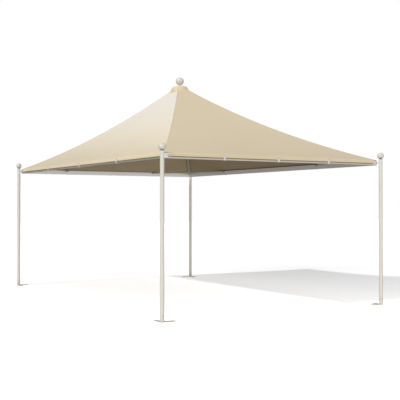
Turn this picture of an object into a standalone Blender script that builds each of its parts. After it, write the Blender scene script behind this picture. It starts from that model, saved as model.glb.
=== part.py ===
"""Rectangular garden gazebo with a swept, four-sided fabric roof.

Four tube posts with ball finials stand just outside the corners of an eaves
frame. Each post is bolted to the frame's corner by a small bracket. Curved hip
rafters rise from the frame's corners to a round hub, diagonal braces stiffen
the frame in plan, and the fabric roof is pulled over the lot and clipped to
the outside of the eaves beams.

Units are metres. X runs along the short sides and Y along the long ones. The
origin is on the ground in the middle of the plan, and +Z is up.
"""
import math

import bpy
import bmesh
from mathutils import Matrix, Vector

# Plan and clearances
PLAN_X = 4.0
PLAN_Y = 6.0
GAP = 0.0003

# Posts and their ball finials
POST_RADIUS = 0.030
POST_WALL = 0.002
POST_SIDES = 24
POST_BALL_RADIUS = 0.052
POST_BALL_HEIGHT = 2.388
BALL_WALL = 0.002
BALL_SIDES = 24
BALL_RINGS = 8
PLUG_LENGTH = 0.040

# Feet: an L of flat plate with a spigot that stands inside the post
FOOT_REACH = 0.200
FOOT_WIDTH = 0.060
FOOT_THICKNESS = 0.010
FOOT_CORNER = 0.008
SPIGOT_HEIGHT = 0.160
SPIGOT_WALL = 0.003
ANCHOR_HOLE_RADIUS = 0.006
ANCHOR_HOLE_INSET = 0.030
HOLE_SIDES = 12

# Eaves beams: rectangular tube, mitred at the corners
BEAM_SETBACK = 0.045
BEAM_DEPTH = 0.080
BEAM_WIDTH = 0.035
BEAM_WALL = 0.0015
BEAM_CORNER = 0.004
BEAM_BOTTOM = 2.233
BEAM_TOP = BEAM_BOTTOM + BEAM_DEPTH

# Roof sheet: its height above the fold is RISE * t + SWEEP * t ** 2 + CURL * t ** 3,
# where t is 0 at the eaves fold and ROOF_TOP_T at the rectangle where the crown starts
SHEET = 0.004
FOLD_SETBACK = BEAM_SETBACK - GAP - SHEET
FOLD_HEIGHT = BEAM_TOP + GAP + SHEET
RISE = 0.948
SWEEP = 0.429
CURL = 0.070
HEM_BOTTOM = 2.2555
HEM_CUTBACK = 0.1105
ROOF_TOP_T = 0.93
ROOF_TOP_X = 0.160
ROOF_TOP_Y = 0.190
ROOF_ROWS = 16
ROOF_COLUMNS = 3

# Crown: the round end of the roof, stretched over the hub's plate
CROWN_SIDE_STEPS = 8
CROWN_PLATEAU = 3.7430
CROWN_PLATEAU_RADIUS = 0.096
CROWN_HOLE_RADIUS = 0.0112

# Hub that carries the rafters' upper ends
HUB_RADIUS = 0.090
HUB_WALL = 0.004
HUB_BOTTOM = 3.638
HUB_PLATE_RADIUS = 0.094
HUB_PLATE_THICKNESS = 0.008
HUB_PLATE_TOP = CROWN_PLATEAU - SHEET - 2 * GAP
HUB_SIDES = 32

# Hip rafters
RAFTER_RADIUS = 0.024
RAFTER_WALL = 0.0015
RAFTER_SIDES = 12

# Diagonal braces between the quarter points of neighbouring beams
BRACE_RADIUS = 0.014
BRACE_WALL = 0.0015
BRACE_SIDES = 12
BRACE_HEIGHT = 2.303

# Corner brackets
BRACKET_LEG = 0.065
BRACKET_PLATE = 0.004
BRACKET_BOTTOM = 2.246
BRACKET_TOP = 2.304
LINK_WIDTH = 0.018
LINK_BOTTOM = 2.265
LINK_TOP = 2.283
LINK_STEPS = 6

# Clips that hold the hem at the quarter points of the length inside the frame
CLIP_WIDTH = 0.038
CLIP_PLATE = 0.003
CLIP_LIP = 0.024

# Ball on the crown, with its neck, the flange under it and the threaded stem
APEX_BALL_RADIUS = 0.0725
APEX_BALL_HEIGHT = 3.837
NECK_RADIUS = 0.022
FLANGE_RADIUS = 0.066
FLANGE_THICKNESS = 0.008
STEM_RADIUS = 0.0108
STEM_BORE = 0.0080
APEX_BALL_RINGS = 10
STEM_BOTTOM = 3.690

HALF_X = PLAN_X / 2
HALF_Y = PLAN_Y / 2
FOLD_X = HALF_X - FOLD_SETBACK
FOLD_Y = HALF_Y - FOLD_SETBACK
RUN_X = (FOLD_X - ROOF_TOP_X) / ROOF_TOP_T
RUN_Y = (FOLD_Y - ROOF_TOP_Y) / ROOF_TOP_T
RUN_DIAGONAL = math.hypot(RUN_X, RUN_Y)

CORNERS = {
    "front_left": (-1, -1),
    "front_right": (1, -1),
    "back_left": (-1, 1),
    "back_right": (1, 1),
}

# Name, outward normal, tangent, distance from the middle to the post line,
# and half the length between post axes
SIDES = {
    "front": (Vector((0, -1, 0)), Vector((1, 0, 0)), HALF_Y, HALF_X),
    "right": (Vector((1, 0, 0)), Vector((0, 1, 0)), HALF_X, HALF_Y),
    "back": (Vector((0, 1, 0)), Vector((-1, 0, 0)), HALF_Y, HALF_X),
    "left": (Vector((-1, 0, 0)), Vector((0, -1, 0)), HALF_X, HALF_Y),
}

FINISHES = {
    "post_paint": ((0.72, 0.69, 0.62), 0.45, 0.0),
    "beam_paint": ((0.60, 0.59, 0.55), 0.45, 0.0),
    "foot_paint": ((0.62, 0.60, 0.54), 0.55, 0.0),
    "ball_paint": ((0.70, 0.67, 0.60), 0.35, 0.0),
    "bracket_zinc": ((0.55, 0.55, 0.54), 0.40, 0.8),
    "clip_paint": ((0.80, 0.79, 0.75), 0.40, 0.0),
    "roof_fabric": ((0.62, 0.55, 0.42), 0.90, 0.0),
}


def clear_scene():
    for item in list(bpy.data.objects):
        bpy.data.objects.remove(item, do_unlink=True)


def finish(slot):
    """Return the material of a finish, made the first time it is asked for."""
    if slot in bpy.data.materials:
        return bpy.data.materials[slot]
    colour, roughness, metallic = FINISHES[slot]
    material = bpy.data.materials.new(slot)
    material.use_nodes = True
    shader = material.node_tree.nodes["Principled BSDF"]
    shader.inputs["Base Color"].default_value = (*colour, 1.0)
    shader.inputs["Roughness"].default_value = roughness
    shader.inputs["Metallic"].default_value = metallic
    return material


def add_piece(name, mesh_builder, slot, smooth_angle=None):
    """Turn a bmesh into a named object with a finish."""
    bmesh.ops.recalc_face_normals(mesh_builder, faces=mesh_builder.faces)
    mesh = bpy.data.meshes.new(name)
    mesh_builder.to_mesh(mesh)
    mesh_builder.free()
    mesh.materials.append(finish(slot))
    if smooth_angle is not None:
        mesh.shade_smooth()
        mesh.set_sharp_from_angle(angle=math.radians(smooth_angle))
    piece = bpy.data.objects.new(name, mesh)
    bpy.context.scene.collection.objects.link(piece)
    return piece


def hide_as_helper(helper):
    """Keep an object that only shapes another one out of the model."""
    helper.hide_render = True
    helper.display_type = "WIRE"


def combine(piece, helper, operation):
    """Add a Boolean of a helper object to a piece."""
    boolean = piece.modifiers.new(helper.name, "BOOLEAN")
    boolean.operation = operation
    boolean.solver = "EXACT"
    boolean.object = helper
    hide_as_helper(helper)


def loft(rings, closed=False):
    """Skin a list of rings with equal point counts.

    An open loft is capped at both ends. A closed one joins its last ring to
    the first, which makes a tube with a wall.
    """
    builder = bmesh.new()
    rows = [[builder.verts.new(point) for point in ring] for ring in rings]
    count = len(rows[0])
    pairs = list(zip(rows, rows[1:]))
    if closed:
        pairs.append((rows[-1], rows[0]))
    for low, high in pairs:
        for i in range(count):
            j = (i + 1) % count
            builder.faces.new((low[i], low[j], high[j], high[i]))
    if not closed:
        builder.faces.new(list(reversed(rows[0])))
        builder.faces.new(rows[-1])
    return builder


def turn(profile, sides):
    """Turn (radius, height) points about Z.

    A profile that starts and ends on the axis closes with points there, and
    any other one is a loop around the axis.
    """
    builder = bmesh.new()
    rows = []
    for radius, height in profile:
        if radius == 0:
            rows.append([builder.verts.new((0, 0, height))])
            continue
        ring = circle_points(radius, sides)
        rows.append([builder.verts.new((x, y, height)) for x, y in ring])
    pairs = list(zip(rows, rows[1:]))
    if profile[0][0] != 0:
        pairs.append((rows[-1], rows[0]))
    for low, high in pairs:
        for i in range(sides):
            j = (i + 1) % sides
            if len(low) == 1:
                builder.faces.new((low[0], high[j], high[i]))
            elif len(high) == 1:
                builder.faces.new((low[i], low[j], high[0]))
            else:
                builder.faces.new((low[i], low[j], high[j], high[i]))
    return builder


def extrude_outline(outline, bottom, top):
    """Make a prism from a plan outline."""
    return loft([[(x, y, z) for x, y in outline] for z in (bottom, top)])


def circle_points(radius, sides):
    step = 2 * math.pi / sides
    return [(radius * math.cos(i * step), radius * math.sin(i * step)) for i in range(sides)]


def rounded_outline(points, radius, steps=3):
    """Round every corner of an outline with an arc, whichever way it turns."""
    outline = []
    for i, point in enumerate(points):
        here = Vector(point)
        to_last = (Vector(points[i - 1]) - here).normalized()
        to_next = (Vector(points[(i + 1) % len(points)]) - here).normalized()
        half_angle = to_last.angle(to_next) / 2
        bisector = (to_last + to_next).normalized()
        centre = here + bisector * (radius / math.sin(half_angle))
        start = here + to_last * (radius / math.tan(half_angle)) - centre
        end = here + to_next * (radius / math.tan(half_angle)) - centre
        for k in range(steps + 1):
            arm = start.lerp(end, k / steps).normalized() * radius
            outline.append(tuple(centre + arm))
    return outline


def thicken(outer, inner, faces):
    """Close an outer and an inner sheet of matching points into one body."""
    builder = bmesh.new()
    top = [builder.verts.new(point) for point in outer]
    under = [builder.verts.new(point) for point in inner]
    edges = set()
    for face in faces:
        builder.faces.new([top[i] for i in face])
        builder.faces.new([under[i] for i in reversed(face)])
        edges.update(zip(face, face[1:] + face[:1]))
    for a, b in edges:
        if (b, a) not in edges:
            builder.faces.new((top[b], top[a], under[a], under[b]))
    return builder


def roof_height(t):
    """Height of the roof's outer face at fraction t of the way to the top."""
    return FOLD_HEIGHT + RISE * t + SWEEP * t ** 2 + CURL * t ** 3


def roof_climb(t):
    """Rate at which the roof's height grows with t."""
    return RISE + 2 * SWEEP * t + 3 * CURL * t ** 2


def roof_row_fraction(row):
    """Fraction of the way up at one of the rows that roof and rafters share."""
    return ROOF_TOP_T * row / ROOF_ROWS


def roof_rectangle(t):
    """Half the X and Y sizes of the roof at fraction t of the way up."""
    return FOLD_X - RUN_X * t, FOLD_Y - RUN_Y * t


def roof_fraction(x, y):
    """Fraction of the way up the roof at a place in plan."""
    return min((FOLD_X - abs(x)) / RUN_X, (FOLD_Y - abs(y)) / RUN_Y)


def make_foot(name, sx, sy):
    """L-shaped plate with a spigot tube and an anchor hole in each arm."""
    half = FOOT_WIDTH / 2
    corner = [(-half, -half), (FOOT_REACH, -half), (FOOT_REACH, half),
              (half, half), (half, FOOT_REACH), (-half, FOOT_REACH)]
    outline = rounded_outline(corner, FOOT_CORNER)
    centre_x, centre_y = sx * HALF_X, sy * HALF_Y
    plan = [(centre_x - sx * u, centre_y - sy * v) for u, v in outline]
    foot = add_piece(f"foot_{name}", extrude_outline(plan, 0.0, FOOT_THICKNESS), "foot_paint", 40)

    outside = POST_RADIUS - POST_WALL - GAP
    inside = outside - SPIGOT_WALL
    root = FOOT_THICKNESS / 2
    top = FOOT_THICKNESS + SPIGOT_HEIGHT
    spigot = add_piece(f"spigot_{name}", turn(
        [(outside, root), (outside, top), (inside, top), (inside, root)], POST_SIDES), "foot_paint", 40)
    spigot.location = (centre_x, centre_y, 0)
    combine(foot, spigot, "UNION")

    hole_at = FOOT_REACH - ANCHOR_HOLE_INSET
    drills = bmesh.new()
    for u, v in ((hole_at, 0.0), (0.0, hole_at)):
        place = Matrix.Translation((centre_x - sx * u, centre_y - sy * v, 0))
        bmesh.ops.create_cone(drills, cap_ends=True, segments=HOLE_SIDES, matrix=place,
                              radius1=ANCHOR_HOLE_RADIUS, radius2=ANCHOR_HOLE_RADIUS,
                              depth=4 * FOOT_THICKNESS)
    combine(foot, add_piece(f"drills_{name}", drills, "foot_paint"), "DIFFERENCE")


def ball_seat_height():
    """Height at which a post's rim meets the ball that sits on it."""
    return POST_BALL_HEIGHT - math.sqrt(POST_BALL_RADIUS ** 2 - POST_RADIUS ** 2)


def make_post(name, sx, sy):
    inside = POST_RADIUS - POST_WALL
    bottom = FOOT_THICKNESS + GAP
    top = ball_seat_height() - GAP
    post = add_piece(f"post_{name}", turn(
        [(POST_RADIUS, bottom), (POST_RADIUS, top), (inside, top), (inside, bottom)],
        POST_SIDES), "post_paint", 40)
    post.location = (sx * HALF_X, sy * HALF_Y, 0)


def sphere_arc(radius, middle, first, last, rings):
    """Turned points of a sphere between two angles measured from its top."""
    arc = []
    for i in range(rings + 1):
        angle = first + (last - first) * i / rings
        across = radius * math.sin(angle) if angle else 0
        arc.append((across, middle + radius * math.cos(angle)))
    return arc


def make_post_ball(name, sx, sy):
    """Hollow ball with a flat seat on the post and a plug in its bore."""
    seat = ball_seat_height()
    plug = POST_RADIUS - POST_WALL - GAP
    plug_bore = plug - BALL_WALL
    plug_bottom = seat - PLUG_LENGTH
    hollow = POST_BALL_RADIUS - BALL_WALL
    seat_angle = math.pi - math.asin(POST_RADIUS / POST_BALL_RADIUS)
    bore_angle = math.pi - math.asin(plug_bore / hollow)
    profile = sphere_arc(POST_BALL_RADIUS, POST_BALL_HEIGHT, 0, seat_angle, BALL_RINGS)
    profile += [(plug, seat), (plug, plug_bottom), (plug_bore, plug_bottom)]
    profile += sphere_arc(hollow, POST_BALL_HEIGHT, bore_angle, 0, BALL_RINGS)
    ball = add_piece(f"post_ball_{name}", turn(profile, BALL_SIDES), "ball_paint", 50)
    ball.location = (sx * HALF_X, sy * HALF_Y, 0)


def make_corner_bracket(name, sx, sy):
    """Angle plate on the frame's corner with a link bar to the post."""
    face = BEAM_SETBACK - GAP
    skin = face - BRACKET_PLATE
    end = BEAM_SETBACK + BRACKET_LEG
    corner = [(skin, skin), (end, skin), (end, face), (face, face), (face, end), (skin, end)]
    plan = [(sx * (HALF_X - u), sy * (HALF_Y - v)) for u, v in corner]
    bracket = add_piece(f"corner_bracket_{name}", extrude_outline(plan, BRACKET_BOTTOM, BRACKET_TOP),
                        "bracket_zinc")

    diagonal = Vector((-sx, -sy)).normalized()
    across = Vector((diagonal.y, -diagonal.x))
    middle = Vector((sx * HALF_X, sy * HALF_Y))
    half = LINK_WIDTH / 2
    root = math.sqrt(2) * (face - BRACKET_PLATE / 2)
    offsets = [half * (2 * i / LINK_STEPS - 1) for i in range(LINK_STEPS + 1)]
    bar = [(math.sqrt((POST_RADIUS + GAP) ** 2 - a * a), a) for a in offsets]
    bar += [(root + half, half), (root, 0.0), (root + half, -half)]
    plan = [middle + diagonal * along + across * aside for along, aside in bar]
    link = add_piece(f"link_{name}", extrude_outline(plan, LINK_BOTTOM, LINK_TOP), "bracket_zinc")
    combine(bracket, link, "UNION")


def tube_section(width, depth, corner):
    """Rounded rectangle around the middle of a beam."""
    points = [(-width / 2, -depth / 2), (width / 2, -depth / 2),
              (width / 2, depth / 2), (-width / 2, depth / 2)]
    return rounded_outline(points, corner)


def make_beam(name, normal, tangent, depth, half_length):
    """Rectangular tube, mitred at both ends against its neighbours."""
    outer = tube_section(BEAM_WIDTH, BEAM_DEPTH, BEAM_CORNER)
    inner = tube_section(BEAM_WIDTH - 2 * BEAM_WALL, BEAM_DEPTH - 2 * BEAM_WALL,
                         BEAM_CORNER - BEAM_WALL)
    middle_line = depth - BEAM_SETBACK - BEAM_WIDTH / 2
    middle_height = BEAM_BOTTOM + BEAM_DEPTH / 2
    mitre = half_length - BEAM_SETBACK - BEAM_WIDTH / 2 - GAP

    def ring(section, end):
        points = []
        for out, rise in section:
            along = end * (mitre + out)
            place = normal * (middle_line + out) + tangent * along
            points.append(place + Vector((0, 0, middle_height + rise)))
        return points

    rings = [ring(outer, -1), ring(outer, 1), ring(inner, 1), ring(inner, -1)]
    add_piece(f"{name}_eaves_beam", loft(rings, closed=True), "beam_paint", 30)


def corner_cope(point, direction, sx, sy):
    """Run a point along a direction until it meets the inside of a corner."""
    reach_x = HALF_X - BEAM_SETBACK - BEAM_WIDTH - GAP
    reach_y = HALF_Y - BEAM_SETBACK - BEAM_WIDTH - GAP
    step_x = (sx * reach_x - point.x) / direction.x if direction.x else math.inf
    step_y = (sy * reach_y - point.y) / direction.y if direction.y else math.inf
    return point + direction * min(step_x, step_y)


def hub_cope(point, direction):
    """Run a point along a direction until it meets the hub's drum."""
    radius = HUB_RADIUS + GAP
    a = direction.x ** 2 + direction.y ** 2
    b = point.x * direction.x + point.y * direction.y
    c = point.x ** 2 + point.y ** 2 - radius ** 2
    return point + direction * ((-b - math.sqrt(b * b - a * c)) / a)


def rafter_axis(t, sx, sy):
    """Middle of a hip rafter whose skin touches the underside of the roof."""
    slope_up_hip = roof_climb(t) / RUN_DIAGONAL
    fall_beside_hip = roof_climb(t) / RUN_X * (RUN_Y / RUN_DIAGONAL)
    drop = RAFTER_RADIUS * math.sqrt(1 + slope_up_hip ** 2 + fall_beside_hip ** 2)
    height = roof_height(t) - SHEET - 2 * GAP - drop
    half_x, half_y = roof_rectangle(t)
    return Vector((sx * half_x, sy * half_y, height))


def make_hip_rafter(name, sx, sy):
    """Curved tube from the frame's corner to the hub, coped at both ends."""
    fractions = [roof_row_fraction(row) for row in range(1, ROOF_ROWS + 1)]
    axis = [rafter_axis(t, sx, sy) for t in fractions]
    sideways = Vector((-sy * RUN_Y, sx * RUN_X, 0)).normalized()

    def rings(radius):
        result = []
        for i, place in enumerate(axis):
            run = (axis[min(i + 1, len(axis) - 1)] - axis[max(i - 1, 0)]).normalized()
            upward = run.cross(sideways).normalized()
            result.append([place + sideways * a + upward * b
                           for a, b in circle_points(radius, RAFTER_SIDES)])
        start_run = (axis[0] - axis[1]).normalized()
        end_run = (axis[-1] - axis[-2]).normalized()
        low = [corner_cope(point, start_run, sx, sy) for point in result[0]]
        high = [hub_cope(point, end_run) for point in result[-1]]
        return [low] + result + [high]

    outer = rings(RAFTER_RADIUS)
    inner = rings(RAFTER_RADIUS - RAFTER_WALL)
    add_piece(f"hip_rafter_{name}", loft(outer + inner[::-1], closed=True), "beam_paint", 40)


def make_corner_brace(name, sx, sy):
    """Straight tube between the quarter points of two neighbouring beams."""
    reach_x = HALF_X - BEAM_SETBACK - BEAM_WIDTH - GAP
    reach_y = HALF_Y - BEAM_SETBACK - BEAM_WIDTH - GAP
    start = Vector((sx * HALF_X / 2, sy * reach_y, BRACE_HEIGHT))
    end = Vector((sx * reach_x, sy * HALF_Y / 2, BRACE_HEIGHT))
    run = (end - start).normalized()
    across = Vector((-run.y, run.x, 0))
    upward = Vector((0, 0, 1))

    def rings(radius):
        low, high = [], []
        for a, b in circle_points(radius, BRACE_SIDES):
            point = (start + end) / 2 + across * a + upward * b
            to_start = (sy * reach_y - point.y) / run.y
            to_end = (sx * reach_x - point.x) / run.x
            low.append(point + run * to_start)
            high.append(point + run * to_end)
        return low, high

    outer_low, outer_high = rings(BRACE_RADIUS)
    inner_low, inner_high = rings(BRACE_RADIUS - BRACE_WALL)
    add_piece(f"corner_brace_{name}",
              loft([outer_low, outer_high, inner_high, inner_low], closed=True), "beam_paint", 40)


def make_roof_panel(name, normal, tangent, half_length):
    """One slope of the roof with the hem that hangs outside its beam."""
    half_width = half_length - FOLD_SETBACK
    hem_half = half_length - HEM_CUTBACK
    inner_columns = [hem_half * (2 * i / ROOF_COLUMNS - 1) for i in range(ROOF_COLUMNS + 1)]
    shares = [-1.0] + [c / half_width for c in inner_columns] + [1.0]
    count = len(shares)
    inset = 1.5 * GAP

    def place(share, t, height):
        size = Vector((*roof_rectangle(t), 0))
        out = abs(normal.dot(size))
        along = share * (abs(tangent.dot(size)) - inset)
        spot = normal * out + tangent * along
        return Vector((spot.x, spot.y, height))

    down = Vector((0, 0, -SHEET))
    inward = normal * -SHEET
    outer, inner = [], []
    for row in range(ROOF_ROWS + 1):
        t = roof_row_fraction(row)
        for column, share in enumerate(shares):
            point = place(share, t, roof_height(t))
            has_hem = row == 0 and 0 < column < count - 1
            outer.append(point)
            inner.append(point + down + (inward if has_hem else Vector((0, 0, 0))))
    hem_start = len(outer)
    for share in shares[1:-1]:
        point = place(share, 0.0, HEM_BOTTOM)
        outer.append(point)
        inner.append(point + inward)

    faces = []
    for row in range(ROOF_ROWS):
        for column in range(count - 1):
            a = row * count + column
            faces.append([a, a + 1, a + 1 + count, a + count])
    for column in range(count - 3):
        low = hem_start + column
        high = column + 1
        faces.append([low, low + 1, high + 1, high])
    add_piece(f"{name}_roof_panel", thicken(outer, inner, faces), "roof_fabric", 35)


def crown_ring(edge_t, circle_radius, share, height):
    """Ring between the rectangle at the crown's edge and a circle.

    share is 0 on the rectangle and 1 on the circle. Until the ring is round, no
    point lies below the slopes of the roof, so the hips run up into the crown.
    """
    half_x, half_y = roof_rectangle(edge_t)
    corners = [(half_x, -half_y), (half_x, half_y), (-half_x, half_y), (-half_x, -half_y)]
    ring = []
    for i, corner in enumerate(corners):
        start, end = Vector(corner), Vector(corners[(i + 1) % 4])
        for k in range(CROWN_SIDE_STEPS):
            square = start.lerp(end, k / CROWN_SIDE_STEPS)
            spot = square.lerp(square.normalized() * circle_radius, share)
            slope = roof_height(roof_fraction(spot.x, spot.y))
            level = height if share == 1 else max(height, slope)
            ring.append(Vector((spot.x, spot.y, level)))
    return ring


def make_crown():
    """Round crown of the roof, drawn up from the four slopes over the hub.

    Each ring gives the circle's radius, the share of the circle, the height, and
    how far the inner face lies in from the outer one.
    """
    edge_t = ROOF_TOP_T + 1.5 * GAP
    rings = [
        (0.1580, 0.00, roof_height(edge_t), 0.0),
        (0.1580, 0.22, 3.6400, 0.0),
        (0.1550, 0.50, 3.6530, 0.0005),
        (0.1500, 0.72, 3.6710, 0.0015),
        (0.1490, 0.90, 3.6890, 0.0025),
        (0.1417, 1.00, 3.7075, 0.0030),
        (0.1340, 1.00, 3.7170, 0.0030),
        (0.1252, 1.00, 3.7260, 0.0028),
        (0.1145, 1.00, 3.7345, 0.0022),
        (0.1045, 1.00, 3.7405, 0.0010),
        (CROWN_PLATEAU_RADIUS, 1.00, CROWN_PLATEAU, 0.0),
        (CROWN_HOLE_RADIUS, 1.00, CROWN_PLATEAU, 0.0),
    ]
    outer, under = [], []
    for radius, share, height, inset in rings:
        ring = crown_ring(edge_t, radius, share, height)
        outer.append(ring)
        lowered = []
        for point in ring:
            kept = 1 - inset / math.hypot(point.x, point.y)
            lowered.append(Vector((point.x * kept, point.y * kept, point.z - SHEET)))
        under.append(lowered)
    add_piece("roof_crown", loft(outer + under[::-1], closed=True), "roof_fabric", 50)


def make_hub():
    """Drum for the rafters, open below, under the plate that shapes the crown."""
    plate_bottom = HUB_PLATE_TOP - HUB_PLATE_THICKNESS
    bore = CROWN_HOLE_RADIUS
    profile = [
        (bore, HUB_PLATE_TOP), (HUB_PLATE_RADIUS, HUB_PLATE_TOP),
        (HUB_PLATE_RADIUS, plate_bottom), (HUB_RADIUS, plate_bottom),
        (HUB_RADIUS, HUB_BOTTOM), (HUB_RADIUS - HUB_WALL, HUB_BOTTOM),
        (HUB_RADIUS - HUB_WALL, plate_bottom), (bore, plate_bottom),
    ]
    add_piece("apex_hub", turn(profile, HUB_SIDES), "beam_paint", 40)


def make_apex_ball():
    """Hollow ball on a necked flange, with a stem tube through the crown and hub."""
    hollow = APEX_BALL_RADIUS - BALL_WALL
    neck_angle = math.pi - math.asin(NECK_RADIUS / APEX_BALL_RADIUS)
    bore_angle = math.pi - math.asin(STEM_BORE / hollow)
    seat = CROWN_PLATEAU + GAP
    flange_top = seat + FLANGE_THICKNESS
    profile = sphere_arc(APEX_BALL_RADIUS, APEX_BALL_HEIGHT, 0, neck_angle, APEX_BALL_RINGS)
    profile += [(NECK_RADIUS, flange_top), (FLANGE_RADIUS, flange_top), (FLANGE_RADIUS, seat),
                (STEM_RADIUS, seat), (STEM_RADIUS, STEM_BOTTOM), (STEM_BORE, STEM_BOTTOM)]
    profile += sphere_arc(hollow, APEX_BALL_HEIGHT, bore_angle, 0, APEX_BALL_RINGS)
    add_piece("apex_ball", turn(profile, BALL_SIDES), "ball_paint", 50)


def make_hem_clip(name, normal, tangent, depth, along):
    """Flat clip over the hem, hooked under the beam."""
    face = depth - FOLD_SETBACK + GAP
    skin = face + CLIP_PLATE
    hook_end = face - CLIP_LIP
    lip_top = BEAM_BOTTOM - GAP
    lip_bottom = lip_top - CLIP_PLATE
    section = [(skin, lip_bottom), (skin, BEAM_TOP), (face, BEAM_TOP),
               (face, lip_top), (hook_end, lip_top), (hook_end, lip_bottom)]
    rings = []
    for end in (-CLIP_WIDTH / 2, CLIP_WIDTH / 2):
        rings.append([normal * out + tangent * (along + end) + Vector((0, 0, z)) for out, z in section])
    add_piece(f"hem_clip_{name}", loft(rings), "clip_paint")


def main():
    clear_scene()
    for name, (sx, sy) in CORNERS.items():
        make_foot(name, sx, sy)
        make_post(name, sx, sy)
        make_post_ball(name, sx, sy)
        make_corner_bracket(name, sx, sy)
        make_hip_rafter(name, sx, sy)
        make_corner_brace(name, sx, sy)
    for name, (normal, tangent, depth, half_length) in SIDES.items():
        make_beam(name, normal, tangent, depth, half_length)
        make_roof_panel(name, normal, tangent, half_length)
        clear_half = half_length - BEAM_SETBACK - BEAM_WIDTH
        for number, share in enumerate((-0.5, 0.0, 0.5), start=1):
            make_hem_clip(f"{name}_{number}", normal, tangent, depth, share * clear_half)
    make_hub()
    make_crown()
    make_apex_ball()


main()
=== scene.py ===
"""Looks of a rectangular garden gazebo with a swept fabric roof.

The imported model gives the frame. Every sub-assembly is drawn again here with the
detail of the real one: turned tube posts on flat feet, ball finials, mitred eaves
tubes, curved hip rafters, diagonal braces, a sewn cover with its seams, piping and
stitches, straps over the hem, brackets, welds and fasteners. Units are metres, X
runs along the short sides, Y along the long ones, and +Z is up.
"""
from __future__ import annotations

import logging
import math
from dataclasses import dataclass
from enum import Enum
from typing import Iterable, Sequence

import bmesh
import bpy
import numpy as np
from mathutils import Matrix, Vector

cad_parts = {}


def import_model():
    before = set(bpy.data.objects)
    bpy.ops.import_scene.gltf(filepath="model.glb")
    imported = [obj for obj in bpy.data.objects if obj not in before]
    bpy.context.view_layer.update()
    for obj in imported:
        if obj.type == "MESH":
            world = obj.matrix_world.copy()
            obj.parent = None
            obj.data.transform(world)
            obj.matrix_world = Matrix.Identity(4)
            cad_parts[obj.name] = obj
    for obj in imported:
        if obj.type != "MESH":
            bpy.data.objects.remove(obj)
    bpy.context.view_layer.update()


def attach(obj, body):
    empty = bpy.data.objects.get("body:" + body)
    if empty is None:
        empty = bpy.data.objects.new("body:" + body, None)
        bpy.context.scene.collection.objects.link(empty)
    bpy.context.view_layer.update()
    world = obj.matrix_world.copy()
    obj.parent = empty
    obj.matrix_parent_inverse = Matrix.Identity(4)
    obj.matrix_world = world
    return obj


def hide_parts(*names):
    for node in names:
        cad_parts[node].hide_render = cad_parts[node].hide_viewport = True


LOG = logging.getLogger("gazebo")
UP = Vector((0.0, 0.0, 1.0))
Colour = tuple[float, float, float]
Pair = tuple[float, float]
CrownRow = tuple[float, float, float, float]
BEAD_SIDES = 6
BEAD_SWELL = 0.12
STITCH_GAP = 0.14
THREAD_RADIUS = 0.0005
THREAD_RISE = 0.0006
THREAD_SINK = 0.0002


class PlanPlace(Enum):
    """A named place in plan, given by its signs along X and Y."""

    @property
    def label(self) -> str:
        """Return the name as the nodes have it."""
        return self.name.lower()


class Corner(PlanPlace):
    """The four corners, each with its signs along X and Y."""

    FRONT_LEFT = (-1, -1)
    FRONT_RIGHT = (1, -1)
    BACK_LEFT = (-1, 1)
    BACK_RIGHT = (1, 1)


class Side(PlanPlace):
    """The four sides, each with the X and Y of its outward normal."""

    FRONT = (0, -1)
    RIGHT = (1, 0)
    BACK = (0, 1)
    LEFT = (-1, 0)

    @property
    def normal(self) -> Vector:
        """Return the outward direction."""
        return Vector((self.value[0], self.value[1], 0.0))

    @property
    def tangent(self) -> Vector:
        """Return the direction along the side, anticlockwise from above."""
        return Vector((-self.value[1], self.value[0], 0.0))


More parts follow.
